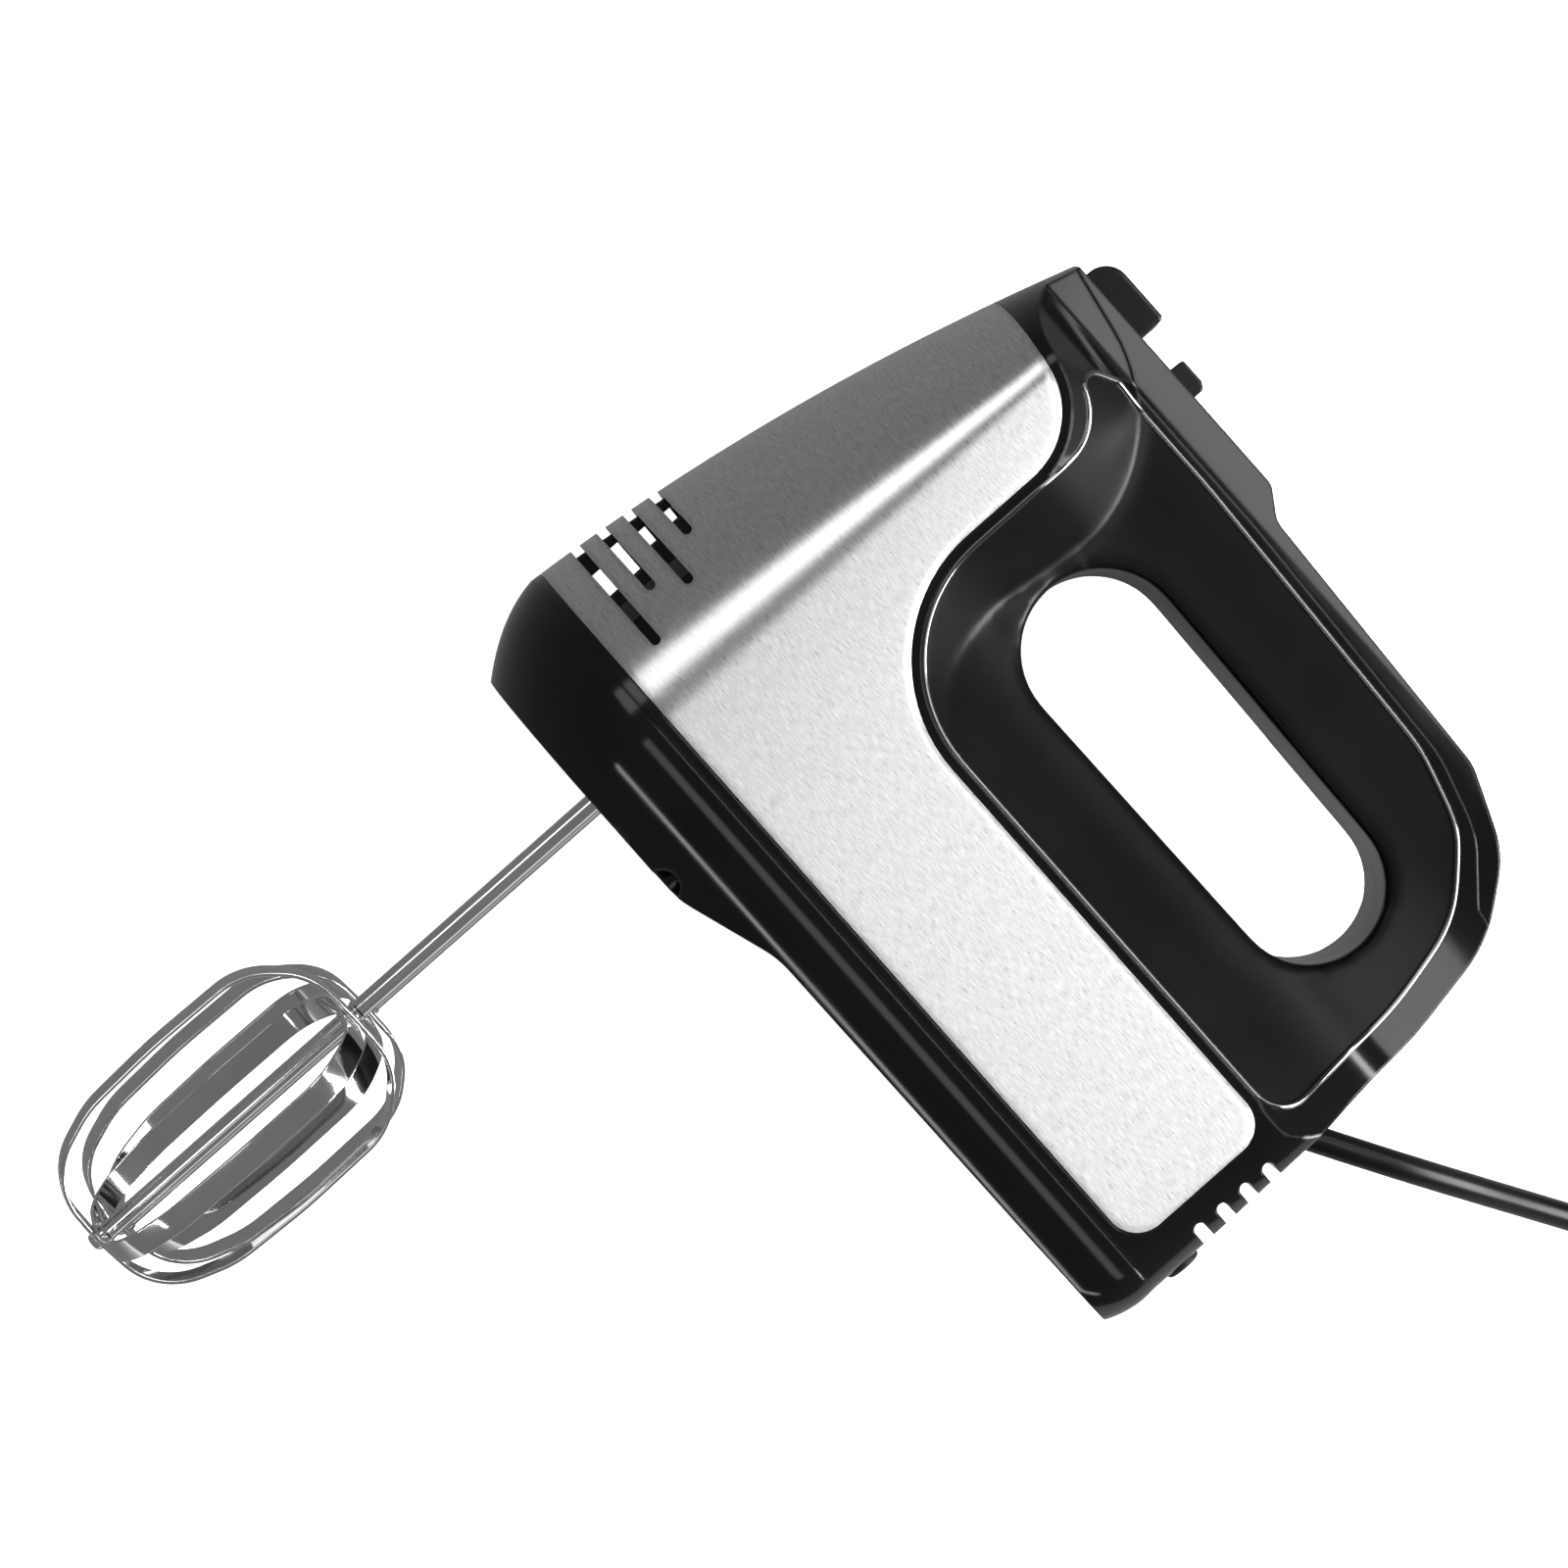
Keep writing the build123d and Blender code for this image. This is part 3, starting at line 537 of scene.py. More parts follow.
@dataclass(frozen=True)
class Finish:
    """A surface whose tone and roughness wander between two values over a grained height."""

    name: str
    dark: tuple[float, float, float]
    pale: tuple[float, float, float]
    roughness: tuple[float, float]
    metallic: float = 0.0
    grain: float = 2500.0
    clouds: float = 30.0
    height: float = 0.02
    depth: float = 0.0001
    brushed: bool = False
    edge: float = 0.0
    coat: float = 0.0
    specular: float = 0.5
    anisotropic: float = 0.0

    def build(self) -> bpy.types.Material:
        """Makes the material.

        Returns:
            The material, whose pattern follows Object coordinates.
        """
        material = bpy.data.materials.new(self.name)
        material.use_nodes = True
        nodes, links = material.node_tree.nodes, material.node_tree.links
        shader = nodes["Principled BSDF"]
        for socket, value in (
            ("Metallic", self.metallic), ("Specular IOR Level", self.specular), ("Coat Weight", self.coat),
            ("Coat Roughness", 0.04), ("Anisotropic", self.anisotropic),
        ):
            shader.inputs[socket].default_value = value
        pattern = nodes.new("ShaderNodeGroup")
        pattern.node_tree = BRUSHED if self.brushed else GRAIN
        sockets = ("Fineness", "Dash") if self.brushed else ("Grain", "Clouds")
        for socket, value in zip(sockets, (self.grain, self.clouds)):
            pattern.inputs[socket].default_value = value
        relief, wander = ("Lines", "Lines") if self.brushed else ("Grain", "Clouds")
        tone = nodes.new("ShaderNodeMix")
        tone.data_type = "RGBA"
        tone.inputs[6].default_value = (*self.dark, 1.0)
        tone.inputs[7].default_value = (*self.pale, 1.0)
        links.new(spread(nodes, links, pattern.outputs[wander], 0.0, 1.0), tone.inputs[0])
        links.new(tone.outputs[2], shader.inputs["Base Color"])
        links.new(spread(nodes, links, pattern.outputs[wander], *self.roughness), shader.inputs["Roughness"])
        bump = nodes.new("ShaderNodeBump")
        bump.inputs["Strength"].default_value = self.height
        bump.inputs["Distance"].default_value = self.depth
        links.new(pattern.outputs[relief], bump.inputs["Height"])
        if self.edge:
            soft = nodes.new("ShaderNodeBevel")
            soft.samples = 4
            soft.inputs["Radius"].default_value = self.edge * MM
            links.new(soft.outputs[0], bump.inputs["Normal"])
        links.new(bump.outputs[0], shader.inputs["Normal"])
        if self.brushed:
            across = nodes.new("ShaderNodeCombineXYZ")
            across.inputs["X"].default_value = 1.0
            links.new(across.outputs[0], shader.inputs["Tangent"])
        return material

FINISHES = {
    finish.name: finish.build()
    for finish in (
        Finish("brushed_steel", (0.55, 0.545, 0.54), (0.80, 0.79, 0.78), (0.27, 0.31), 1.0, 3200.0, 420.0,
               0.25, 0.00003, brushed=True, anisotropic=0.85, edge=2.4),
        Finish("gloss_black", (0.0015, 0.0015, 0.0018), (0.0025, 0.0025, 0.0028), (0.07, 0.12), grain=400,
               height=0.02, edge=0.9, specular=0.32),
        Finish("gloss_bead", (0.002, 0.002, 0.002), (0.003, 0.003, 0.003), (0.10, 0.14), grain=400, height=0.01,
               specular=1.0, coat=1.0),
        Finish("satin_black", (0.0018, 0.0018, 0.0020), (0.0030, 0.0030, 0.0030), (0.30, 0.36), grain=3500,
               height=0.25, depth=0.00005, edge=0.4, specular=0.10),
        Finish("control_black", (0.002, 0.002, 0.0022), (0.0035, 0.0035, 0.0035), (0.18, 0.24), grain=3000,
               height=0.15, depth=0.00004, edge=0.4, specular=0.30),
        Finish("polished_steel", (0.60, 0.60, 0.60), (0.72, 0.72, 0.71), (0.05, 0.10), 1.0, 900.0, 40.0, 0.05),
        Finish("black_rubber", (0.003, 0.003, 0.003), (0.006, 0.006, 0.006), (0.38, 0.50), grain=2200,
               height=0.15, specular=0.2),
        Finish("lead_black", (0.002, 0.002, 0.002), (0.004, 0.004, 0.004), (0.28, 0.36), grain=1500,
               height=0.08, specular=0.12),
        Finish("nickel", (0.55, 0.53, 0.48), (0.70, 0.68, 0.62), (0.12, 0.2), 1.0),
        Finish("dark_steel", (0.20, 0.20, 0.21), (0.34, 0.34, 0.34), (0.30, 0.45), 1.0),
        Finish("copper", (0.55, 0.24, 0.12), (0.80, 0.42, 0.22), (0.25, 0.4), 1.0, 1200.0),
        Finish("carbon", (0.015, 0.015, 0.016), (0.04, 0.04, 0.04), (0.5, 0.7), 0.2),
        Finish("nylon", (0.70, 0.68, 0.60), (0.82, 0.80, 0.73), (0.4, 0.5)),
        Finish("grey_nylon", (0.12, 0.12, 0.13), (0.18, 0.18, 0.19), (0.45, 0.6)),
        Finish("bronze", (0.45, 0.31, 0.16), (0.62, 0.46, 0.27), (0.35, 0.5), 1.0),
        Finish("spring_steel", (0.35, 0.35, 0.35), (0.5, 0.5, 0.5), (0.2, 0.3), 1.0),
        Finish("board", (0.02, 0.12, 0.05), (0.04, 0.2, 0.09), (0.3, 0.45)),
    )
}


# ---------------------------------------------------------------- the shell


@dataclass
class Casing:
    """The steel shroud, the chassis halves, the grip skins, the control cover and the lower housing."""

    heights: tuple[float, float, float] = (-12.0, 45.0, 118.0)
    noses: tuple[float, float, float] = (67.9, 60.4, 41.8)
    creases: tuple[float, float, float] = (24.6, 25.75, 26.9)
    heel: float = -128.4
    heel_corner: float = 9.0
    seam: float = -11.6
    wall: float = 3.0
    steel: float = 0.6
    rim: float = 2.3
    slope: float = 35.0
    handle_half: float = 21.5
    vent_ends: tuple[float, ...] = (38.5, 47.9, 43.6, 51.7)
    vent_pitch: float = 6.65
    vent_height: float = 2.25
    heel_vent_height: float = 2.7
    heel_vent_pitch: float = 6.2
    vent_base: float = -0.2
    heel_vents: int = 4
    heel_vent_base: float = 3.6
    heel_vent_front: float = -123.4
    pan_levels: tuple[float, float] = (-22.0, -34.0)
    pan_noses: tuple[float, float, float] = (67.9, 64.6, 56.0)
    pan_drawn_in: tuple[float, float, float] = (0.0, 2.0, 11.0)
    pan_heels: tuple[float, float, float] = (0.0, 1.0, 8.0)
    pan_wall: float = 2.5
    bead_radius: float = 0.75
    bead_sunk: float = 0.25
    bead_step: float = 1.5
    control_slots: tuple[tuple[float, float, float], ...] = (
        (20.3, 38.7, 9.35), (-20.05, -2.35, 8.35), (-1.05, 18.85, 7.35),
    )
    nose_rib: tuple[tuple[float, float], ...] = (
        (-3, 60.2), (3.2, 60.2), (3.3, 62.0), (9.7, 62.0), (9.8, 60.7), (16.4, 60.7), (16.5, 60.2), (22.5, 60.2),
        (22.5, 62.2), (-3, 65.4),
    )
    vent_plate: tuple[tuple[float, float], ...] = (
        (-3, 38), (22.5, 38), (22.5, 56.2), (16.5, 56.2), (16.4, 55.6), (9.8, 55.6), (9.7, 53.4), (-3, 53.2),
    )
    upper_corners: tuple[Corner, ...] = (
        (-11.6, 90, 0), (117.6, 90, 0), (117.6, -20.5, 4), (113.3, -27, 6), (110.4, -92, 12),
        (103, -110, 22), (88, -122, 30), (64, -126.2, 60), (-11.6, -128.4, 0),
    )
    steel_corners: tuple[Corner, ...] = (
        (-9.0, 90, 0), (107.6, 90, 0), (94.5, 13.3, 18), (27.7, 13.3, 34), (27.7, -118.2, 7), (-9.0, -118.2, 7),
    )
    skin_corners: tuple[Corner, ...] = (
        (30, 11, 31.7), (97.2, 11, 13), (101.2, 26, 3), (107.4, 17, 3), (107.4, -12, 60),
        (104.6, -82, 30), (99.5, -100, 18), (86, -114, 24), (64, -119, 60), (30, -119.4, 8),
    )
    lid_corners: tuple[Corner, ...] = (
        (109.8, 90, 0), (109.4, -25, 60), (106.8, -86, 30), (101.6, -103.5, 22), (91.5, -115.5, 2),
        (88.5, -136, 0), (135, -136, 0), (135, 90, 0),
    )
    grip_front: tuple[float, float, float] = (68.2, -23.5, 17.4)
    grip_rear: tuple[float, float, float] = (67.8, -88.2, 16.3)
    waist: tuple[tuple[float, float], ...] = (
        (-17, 43), (28, 43), (36, 38.2), (44, 32), (54, 26.6), (66, 23.6), (84, 21.5), (109.8, 21.5), (130, 19.5),
    )

    def nose_at(self, height: float) -> float:
        """The nose's reach at a height."""
        return through_three(height, self.heights, self.noses)

    def crease_at(self, height: float) -> float:
        """Where the flat side turns into the nose."""
        share = (height - self.heights[0]) / (self.heights[2] - self.heights[0])
        return self.creases[0] + share * (self.creases[2] - self.creases[0])

    @staticmethod
    def level(
        height: float, nose: float, crease: float, half: float, heel: float, corner: float
    ) -> list[Vector]:
        """One level outline: an elliptical nose, flat sides and a rounded heel.

        Args:
            height: the level's height.
            nose: how far the nose reaches.
            crease: where the flat sides start.
            half: the half width.
            heel: where the heel ends.
            corner: the heel corners' radius.

        Returns:
            The ring of points.
        """
        ring: list[Vector] = []
        steps = 64
        for step in range(steps + 1):
            angle = -pi / 2 + pi * step / steps
            ring.append(Vector((height, crease + (nose - crease) * cos(angle), half * sin(angle))))
        for side in (1, -1):
            for step in range(9):
                angle = pi / 2 * step / 8
                across, along = (sin(angle), cos(angle)) if side > 0 else (cos(angle), sin(angle))
                y = heel + corner - corner * across
                ring.append(Vector((height, y, side * (half - corner + corner * along))))
        return ring

    def main_form(self, inset: float) -> bmesh.types.BMesh:
        """The full-width form from the seam to the top, smaller by inset all round.

        Args:
            inset: how much smaller it is on each side.

        Returns:
            The form.
        """
        low, high = self.heights[0], self.heights[2]
        rows = 20
        rings = []
        for row in range(rows + 1):
            height = low + (high - low) * row / rows
            rings.append(
                self.level(height, self.nose_at(height) - inset, self.crease_at(height), HALF_WIDTH - inset,
                           self.heel + inset, self.heel_corner - inset)
            )
        return rings_to_solid(rings)

    def grip_points(self, inset: float) -> list[Vector]:
        """The finger opening: two round ends and the straight lines between them.

        Args:
            inset: how much wider it is on each side.

        Returns:
            The outline's points.
        """
        points: list[Vector] = []
        tilt = (self.grip_front[2] - self.grip_rear[2]) / hypot(
            self.grip_front[0] - self.grip_rear[0], self.grip_front[1] - self.grip_rear[1]
        )
        for (x, y, radius), start in ((self.grip_front, -pi / 2), (self.grip_rear, pi / 2)):
            lean = tilt if start < 0 else -tilt
            for step in range(37):
                angle = start - lean + (pi + 2 * lean) * step / 36
                points.append(Vector((x + (radius + inset) * sin(angle), y + (radius + inset) * cos(angle))))
        return points

    def waist_half(self, height: float) -> float:
        """The handle's half width at a height, smoothly through its stations.

        Args:
            height: where the half width is wanted.

        Returns:
            The half width.
        """
        stations = self.waist
        index = next((i for i in range(len(stations) - 1) if height <= stations[i + 1][0]), len(stations) - 2)
        (x0, w0), (x1, w1) = stations[index], stations[index + 1]
        before = stations[max(0, index - 1)]
        after = stations[min(len(stations) - 1, index + 2)]
        rise_in = (w1 - before[1]) / (x1 - before[0])
        rise_out = (after[1] - w0) / (after[0] - x0)
        t = (height - x0) / (x1 - x0)
        span = x1 - x0
        return (
            (2 * t**3 - 3 * t**2 + 1) * w0 + (t**3 - 2 * t**2 + t) * span * rise_in
            + (3 * t**2 - 2 * t**3) * w1 + (t**3 - t**2) * span * rise_out
        )

    def across_form(self, halves: list[tuple[float, float]]) -> bmesh.types.BMesh:
        """A profile of half widths over height, mirrored and carried from heel to nose.

        Args:
            halves: pairs of a height and the half width there.

        Returns:
            The form.
        """
        rings = []
        for y in (-150.0, 150.0):
            right = [Vector((x, y, half)) for x, half in halves]
            left = [Vector((x, y, -half)) for x, half in reversed(halves)]
            rings.append(right + left)
        return rings_to_solid(rings)

    def core_form(self, inset: float) -> bmesh.types.BMesh:
        """The width of the handle and of the slopes under the grip.

        Args:
            inset: how much smaller it is on each side.

        Returns:
            The form.
        """
        low, high = self.waist[0][0], self.waist[-1][0]
        steps = 60
        heights = [low + (high - low) * step / steps for step in range(steps + 1)]
        flat = HALF_WIDTH + 2
        return self.across_form([(x, (flat if x < 28 else self.waist_half(x)) - inset) for x in heights])

    def shoulder_form(self, inset: float) -> bmesh.types.BMesh:
        """The slope from the wide sides up to the narrow control cover.

        Args:
            inset: how much smaller it is on each side.

        Returns:
            The form.
        """
        half = self.handle_half
        points = [(-17.0, HALF_WIDTH + 2), (98.5, HALF_WIDTH + 2), (109.8, half + 1), (130.0, half - 1)]
        return self.across_form([(x, z - inset) for x, z in points])

    def bowl_slopes(self, inset: float) -> bmesh.types.BMesh:
        """The steel's outline spreading outwards as it goes in from each side.

        Args:
            inset: how much smaller the shape is on each side.

        Returns:
            The shape that the slopes bound.
        """
        edge = grown(list(self.steel_corners), self.rim - inset)
        middle = grown(edge, HALF_WIDTH * tan(radians(self.slope)))
        stations = (
            (-HALF_WIDTH - 2, edge), (-HALF_WIDTH + inset, edge), (0.0, middle), (HALF_WIDTH - inset, edge),
            (HALF_WIDTH + 2, edge),
        )
        return rings_to_solid(
            [[Vector((p.x, p.y, depth)) for p in self.matched(edge, corners)] for depth, corners in stations]
        )

    @staticmethod
    def matched(first: list[Corner], second: list[Corner]) -> list[Vector]:
        """The second outline with as many points as the first, corner by corner.

        Args:
            first: the outline that says which corners are round.
            second: the outline that is followed.

        Returns:
            The second outline's points.
        """
        points: list[Vector] = []
        spots = [Vector(corner[:2]) for corner in second]
        for index, spot in enumerate(spots):
            if first[index][2] <= 0:
                points.append(spot)
            else:
                after = spots[(index + 1) % len(spots)]
                points += arc(spot, spots[index - 1], after, max(LEAST_RADIUS, second[index][2]), 16)
        return points

    def upper_form(self, inset: float) -> bpy.types.Object:
        """The upper shell and its cover, filled in, smaller by inset all round.

        Args:
            inset: how much smaller it is on each side.

        Returns:
            The form.
        """
        form = as_object(self.main_form(inset), "form")
        side = list(self.upper_corners)
        if inset:
            side = grown(side, -inset)
            side[0] = (self.seam - 2 * inset, side[0][1], 0)
            side[-1] = (self.seam - 2 * inset, side[-1][1], 0)
        carve(form, prism(rounded(side)), Cut.KEEP_INSIDE)
        carve(form, self.shoulder_form(inset), Cut.KEEP_INSIDE)
        allowed = as_object(self.core_form(inset), "allowed")
        carve(allowed, self.bowl_slopes(inset), Cut.JOIN)
        carve(form, allowed, Cut.KEEP_INSIDE)
        discard(allowed)
        return carve(form, prism(self.grip_points(inset)), Cut.TAKE_AWAY)

    def vent_tools(self) -> list[bmesh.types.BMesh]:
        """The nose vents and the heel's notches.

        Returns:
            One tool for each nose vent, then one for each notch.
        """
        rows = []
        for row, end in enumerate(self.vent_ends):
            rows.append((self.vent_base + row * self.vent_pitch, self.vent_height / 2, end, FAR_FRONT))
        for row in range(self.heel_vents):
            height = self.heel_vent_base + row * self.heel_vent_pitch
            rows.append((height, self.heel_vent_height / 2, self.heel_vent_front, FAR_REAR))
        tools = []
        for height, half, end, far in rows:
            low, high, radius = height - half, height + half, half * HALF_ROUND
            slot = [(low, end, radius), (low, far, 0), (high, far, 0), (high, end, radius)]
            tools.append(prism(rounded(slot)))
        return tools

    def lower_form(self, inset: float) -> bpy.types.Object:
        """The pan under the seam, filled in, smaller by inset all round.

        Args:
            inset: how much smaller it is on each side.

        Returns:
            The form.
        """
        rings = []
        levels = (self.seam, *self.pan_levels)
        rows = 14
        for row in range(rows + 1):
            height = levels[0] + (levels[2] - levels[0]) * row / rows
            nose = through_three(height, levels, self.pan_noses) - inset
            half = HALF_WIDTH - through_three(height, levels, self.pan_drawn_in) - inset
            heel = self.heel + through_three(height, levels, self.pan_heels) + inset
            rings.append(self.level(height, nose, self.creases[0], half, heel, self.heel_corner - inset))
        form = as_object(rings_to_solid(rings), "pan")
        corners = [(self.seam, 90, 0), (-32.3, 90, 0), (-32.3, -3, 22), (-24.6, -26, 22), (-23.6, -132, 0),
                   (self.seam, -132, 0)]
        if inset:
            corners = grown(corners, -inset)
            corners[0] = (self.seam + 2, corners[0][1], 0)
            corners[-1] = (self.seam + 2, corners[-1][1], 0)
        return carve(form, prism(rounded(corners)), Cut.KEEP_INSIDE)

    def make_steel(self) -> None:
        """The brushed sheet round the nose and both sides."""
        sheet = as_object(self.main_form(0.0), "sheet")
        carve(sheet, self.main_form(self.steel), Cut.TAKE_AWAY)
        carve(sheet, prism(rounded(list(self.steel_corners))), Cut.KEEP_INSIDE)
        for tool in self.vent_tools()[: len(self.vent_ends)]:
            carve(sheet, tool, Cut.TAKE_AWAY)
        placed(
            sheet, "steel_shroud_sheet", FINISHES["brushed_steel"], "housing", ("steel_shroud",), 25
        )

    def make_shell(self) -> None:
        """The chassis halves, the grip skins and the control cover."""
        outer = self.upper_form(0.0)
        hollow = self.upper_form(self.wall)
        pocket = as_object(self.main_form(-1.0), "pocket")
        carve(pocket, self.main_form(self.steel), Cut.TAKE_AWAY)
        carve(pocket, prism(rounded(grown(list(self.steel_corners), 0.12))), Cut.KEEP_INSIDE)
        lid = as_object(prism(rounded(list(self.lid_corners))), "lid")
        skin_region = as_object(prism(rounded(list(self.skin_corners))), "skin_region")

        chassis = copied(outer, "chassis")
        for tool in (hollow, pocket, lid, skin_region):
            carve(chassis, tool, Cut.TAKE_AWAY)
        for tool in self.vent_tools():
            carve(chassis, tool, Cut.TAKE_AWAY)
        carve(chassis, block((16.0, 36.5), (-140, -108), (-10, 10)), Cut.TAKE_AWAY)
        skin = self.softened(outer)
        carve(skin, skin_region, Cut.KEEP_INSIDE)
        carve(skin, hollow, Cut.TAKE_AWAY)
        for name, side in (("right", 1), ("left", -1)):
            region = block((-60, 160), (-160, 120), tuple(sorted((0.0, side * 70.0))))
            half = carve(copied(chassis, "half"), region, Cut.KEEP_INSIDE)
            for baffle in self.baffles(side):
                carve(half, baffle, Cut.JOIN)
            placed(
                half, f"chassis_{name}", FINISHES["gloss_black"], "housing", (f"housing_{name}",)
            )
            region = block((-60, 160), (-160, 120), tuple(sorted((0.0, side * 70.0))))
            lining = carve(copied(skin, "lining"), region, Cut.KEEP_INSIDE)
            node = (f"grip_skin_{name}",)
            placed(lining, f"grip_lining_{name}", FINISHES["satin_black"], "housing", node, 45)
            bead = self.bead(outer, side)
            placed(bead, f"grip_bead_{name}", FINISHES["gloss_bead"], "housing", node, 60)
        cover = carve(copied(outer, "cover"), lid, Cut.KEEP_INSIDE)
        carve(cover, hollow, Cut.TAKE_AWAY)
        for rear, front, half_width in self.control_slots:
            carve(cover, block((108, 128), (rear, front), (-half_width, half_width)), Cut.TAKE_AWAY)
        placed(
            cover, "control_cover_shell", FINISHES["gloss_black"], "housing", ("control_cover",)
        )
        discard(outer, hollow, pocket, lid, skin_region, chassis, skin)

    def baffles(self, side: int) -> list[bmesh.types.BMesh]:
        """The ribs behind the vents of one half.

        Args:
            side: 1 for the right half and -1 for the left one.

        Returns:
            A rib at the nose, a plate further in and the web that holds the plate.
        """
        shapes = []
        for outline, low, high in ((self.nose_rib, 0.0, 1.2), (self.vent_plate, 23.6, 24.8)):
            points = [Vector(point) for point in outline]
            shapes.append(prism(points, *sorted((side * low, side * high))))
        shapes.append(block((-3.0, -1.6), (42.0, 50.0), tuple(sorted((side * 24.0, side * 30.5)))))
        return shapes

    def bead(self, outer: bpy.types.Object, side: int) -> bpy.types.Object:
        """The thin gloss bead that edges one grip skin.

        Args:
            outer: the handle's outer form, which the bead lies on.
            side: 1 for the right skin and -1 for the left one.

        Returns:
            The bead, as a mesh.
        """
        outline = rounded(grown(list(self.skin_corners), -0.2))
        curve = bpy.data.curves.new("bead", "CURVE")
        curve.dimensions = "3D"
        curve.bevel_depth = self.bead_radius
        curve.bevel_resolution = 3
        spots = []
        for index, point in enumerate(outline):
            after = outline[(index + 1) % len(outline)]
            pieces = max(1, round((after - point).length / self.bead_step))
            for step in range(pieces):
                spot = point.lerp(after, step / pieces)
                hit, place, _, _ = outer.ray_cast(Vector((spot.x, spot.y, side * 80)), Vector((0, 0, -side)))
                if hit:
                    spots.append(place - Vector((0, 0, side * self.bead_sunk)))
        for _ in range(4):
            spots = [(spots[i - 1] + 2 * spots[i] + spots[(i + 1) % len(spots)]) / 4 for i in range(len(spots))]
        spline = curve.splines.new("POLY")
        spline.points.add(len(spots) - 1)
        for target, spot in zip(spline.points, spots):
            target.co = (*spot, 1.0)
        spline.use_cyclic_u = True
        line = bpy.data.objects.new("bead", curve)
        bpy.context.scene.collection.objects.link(line)
        bpy.context.view_layer.update()
        mesh = bpy.data.meshes.new_from_object(line.evaluated_get(bpy.context.evaluated_depsgraph_get()))
        bpy.data.objects.remove(line)
        bpy.data.curves.remove(curve)
        bead = bpy.data.objects.new("bead", mesh)
        bpy.context.scene.collection.objects.link(bead)
        return bead

    def softened(self, outer: bpy.types.Object) -> bpy.types.Object:
        """The outer form with its edges melted together, for the grip's lining.

        Args:
            outer: the outer form.

        Returns:
            The softened copy.
        """
        soft = copied(outer, "soft")
        remesh = soft.modifiers.new("even", "REMESH")
        remesh.mode = "VOXEL"
        remesh.voxel_size = 1.1
        smooth = soft.modifiers.new("melt", "SMOOTH")
        smooth.factor = 0.5
        smooth.iterations = 14
        settle(soft)
        return soft

    def make_pan(self) -> None:
        """The lower housing, with its screw recesses and beater sockets."""
        pan = self.lower_form(0.0)
        inner = self.lower_form(self.pan_wall)
        carve(pan, inner, Cut.TAKE_AWAY)
        discard(inner)
        for y, z, seat in SCREWS:
            for side in (1, -1):
                boss = as_object(rod(6.0, -40, self.seam, y, side * z), "boss")
                carve(boss, self.lower_solid(), Cut.KEEP_INSIDE)
                carve(pan, boss, Cut.JOIN)
                discard(boss)
                carve(pan, rod(3.9, -45, seat, y, side * z), Cut.TAKE_AWAY)
        for side in (1, -1):
            carve(pan, rod(4.9, -45, -20, BEATER_Y, side * BEATER_Z), Cut.TAKE_AWAY)
        placed(pan, "lower_pan", FINISHES["gloss_black"], "housing", ("lower_housing",))

    def lower_solid(self) -> bmesh.types.BMesh:
        """The filled pan as a bmesh.

        Returns:
            The pan before it is hollowed out.
        """
        form = self.lower_form(0.0)
        bm = bmesh.new()
        bm.from_mesh(form.data)
        discard(form)
        return bm


# ---------------------------------------------------------------- controls


@dataclass
class Controls:
    """The eject button, the speed slider and the turbo button on the cover."""

    eject_y: float = 29.5
    slider_y: float = 7.9
    turbo_y: float = -11.2

    def make_eject(self) -> None:
        """The eject button: a block whose front corner is well rounded."""
        rear, front = self.eject_y - 8.85, self.eject_y + 8.85
        corners = [(108, rear, 0), (EJECT_TOP, rear, 1.0), (EJECT_TOP, front, 5.5), (108, front, 0)]
        bm = prism(rounded(corners), -9.0, 9.0)
        rounded_edges(bm, 0.8, 3, 40)
        button = as_object(bm, "button")
        carve(button, block((106.0, 110.0), (rear - 0.75, front + 0.75), (-10.2, 10.2)), Cut.JOIN)
        carve(button, rod(5.5, 105.0, 114.0, BEATER_Y, 0.0), Cut.TAKE_AWAY)
        placed(
            button, "eject_button_cap", FINISHES["control_black"], "eject", ("eject_button",)
        )

    def make_slider(self) -> None:
        """The speed knob, with three grooves in its top for the thumb."""
        rear, front = self.slider_y - 4.1, self.slider_y + 4.1
        corners = [(113.2, rear, 0), (121.6, rear, 0.8), (122.5, rear + 1.6, 0.6), (122.5, front - 0.6, 0.8),
                   (113.2, front, 0)]
        bm = prism(rounded(corners), -7.0, 7.0)
        rounded_edges(bm, 0.45, 3, 35)
        knob = as_object(bm, "knob")
        carve(knob, block((113.2, 115.0), (rear - 1.5, front + 1.5), (-8.4, 8.4)), Cut.JOIN)
        for step in range(3):
            z = -4.0 + 4.0 * step
            carve(knob, block((122.1, 123.5), (rear + 2.2, front - 1.2), (z - 0.4, z + 0.4)), Cut.TAKE_AWAY)
        placed(
            knob, "speed_knob_cap", FINISHES["control_black"], "speed_knob", ("speed_slider",)
        )

    def make_turbo(self) -> None:
        """The turbo button: a low pad with rounded ends and a slightly domed top."""
        rear, front = self.turbo_y - 8.5, self.turbo_y + 8.5
        corners = [(109, rear, 0), (118.0, rear, 1.6), (118.6, self.turbo_y, 60), (118.6, front, 1.2),
                   (109, front, 0)]
        bm = prism(rounded(corners), -8.0, 8.0)
        rounded_edges(bm, 0.5, 3, 35)
        pad = carve(as_object(bm, "pad"), rod(2.5, 105.0, 113.5, -15.0, 0.0), Cut.TAKE_AWAY)
        placed(pad, "turbo_button_cap", FINISHES["control_black"], "turbo", ("turbo_button",))


# ---------------------------------------------------------------- fixings


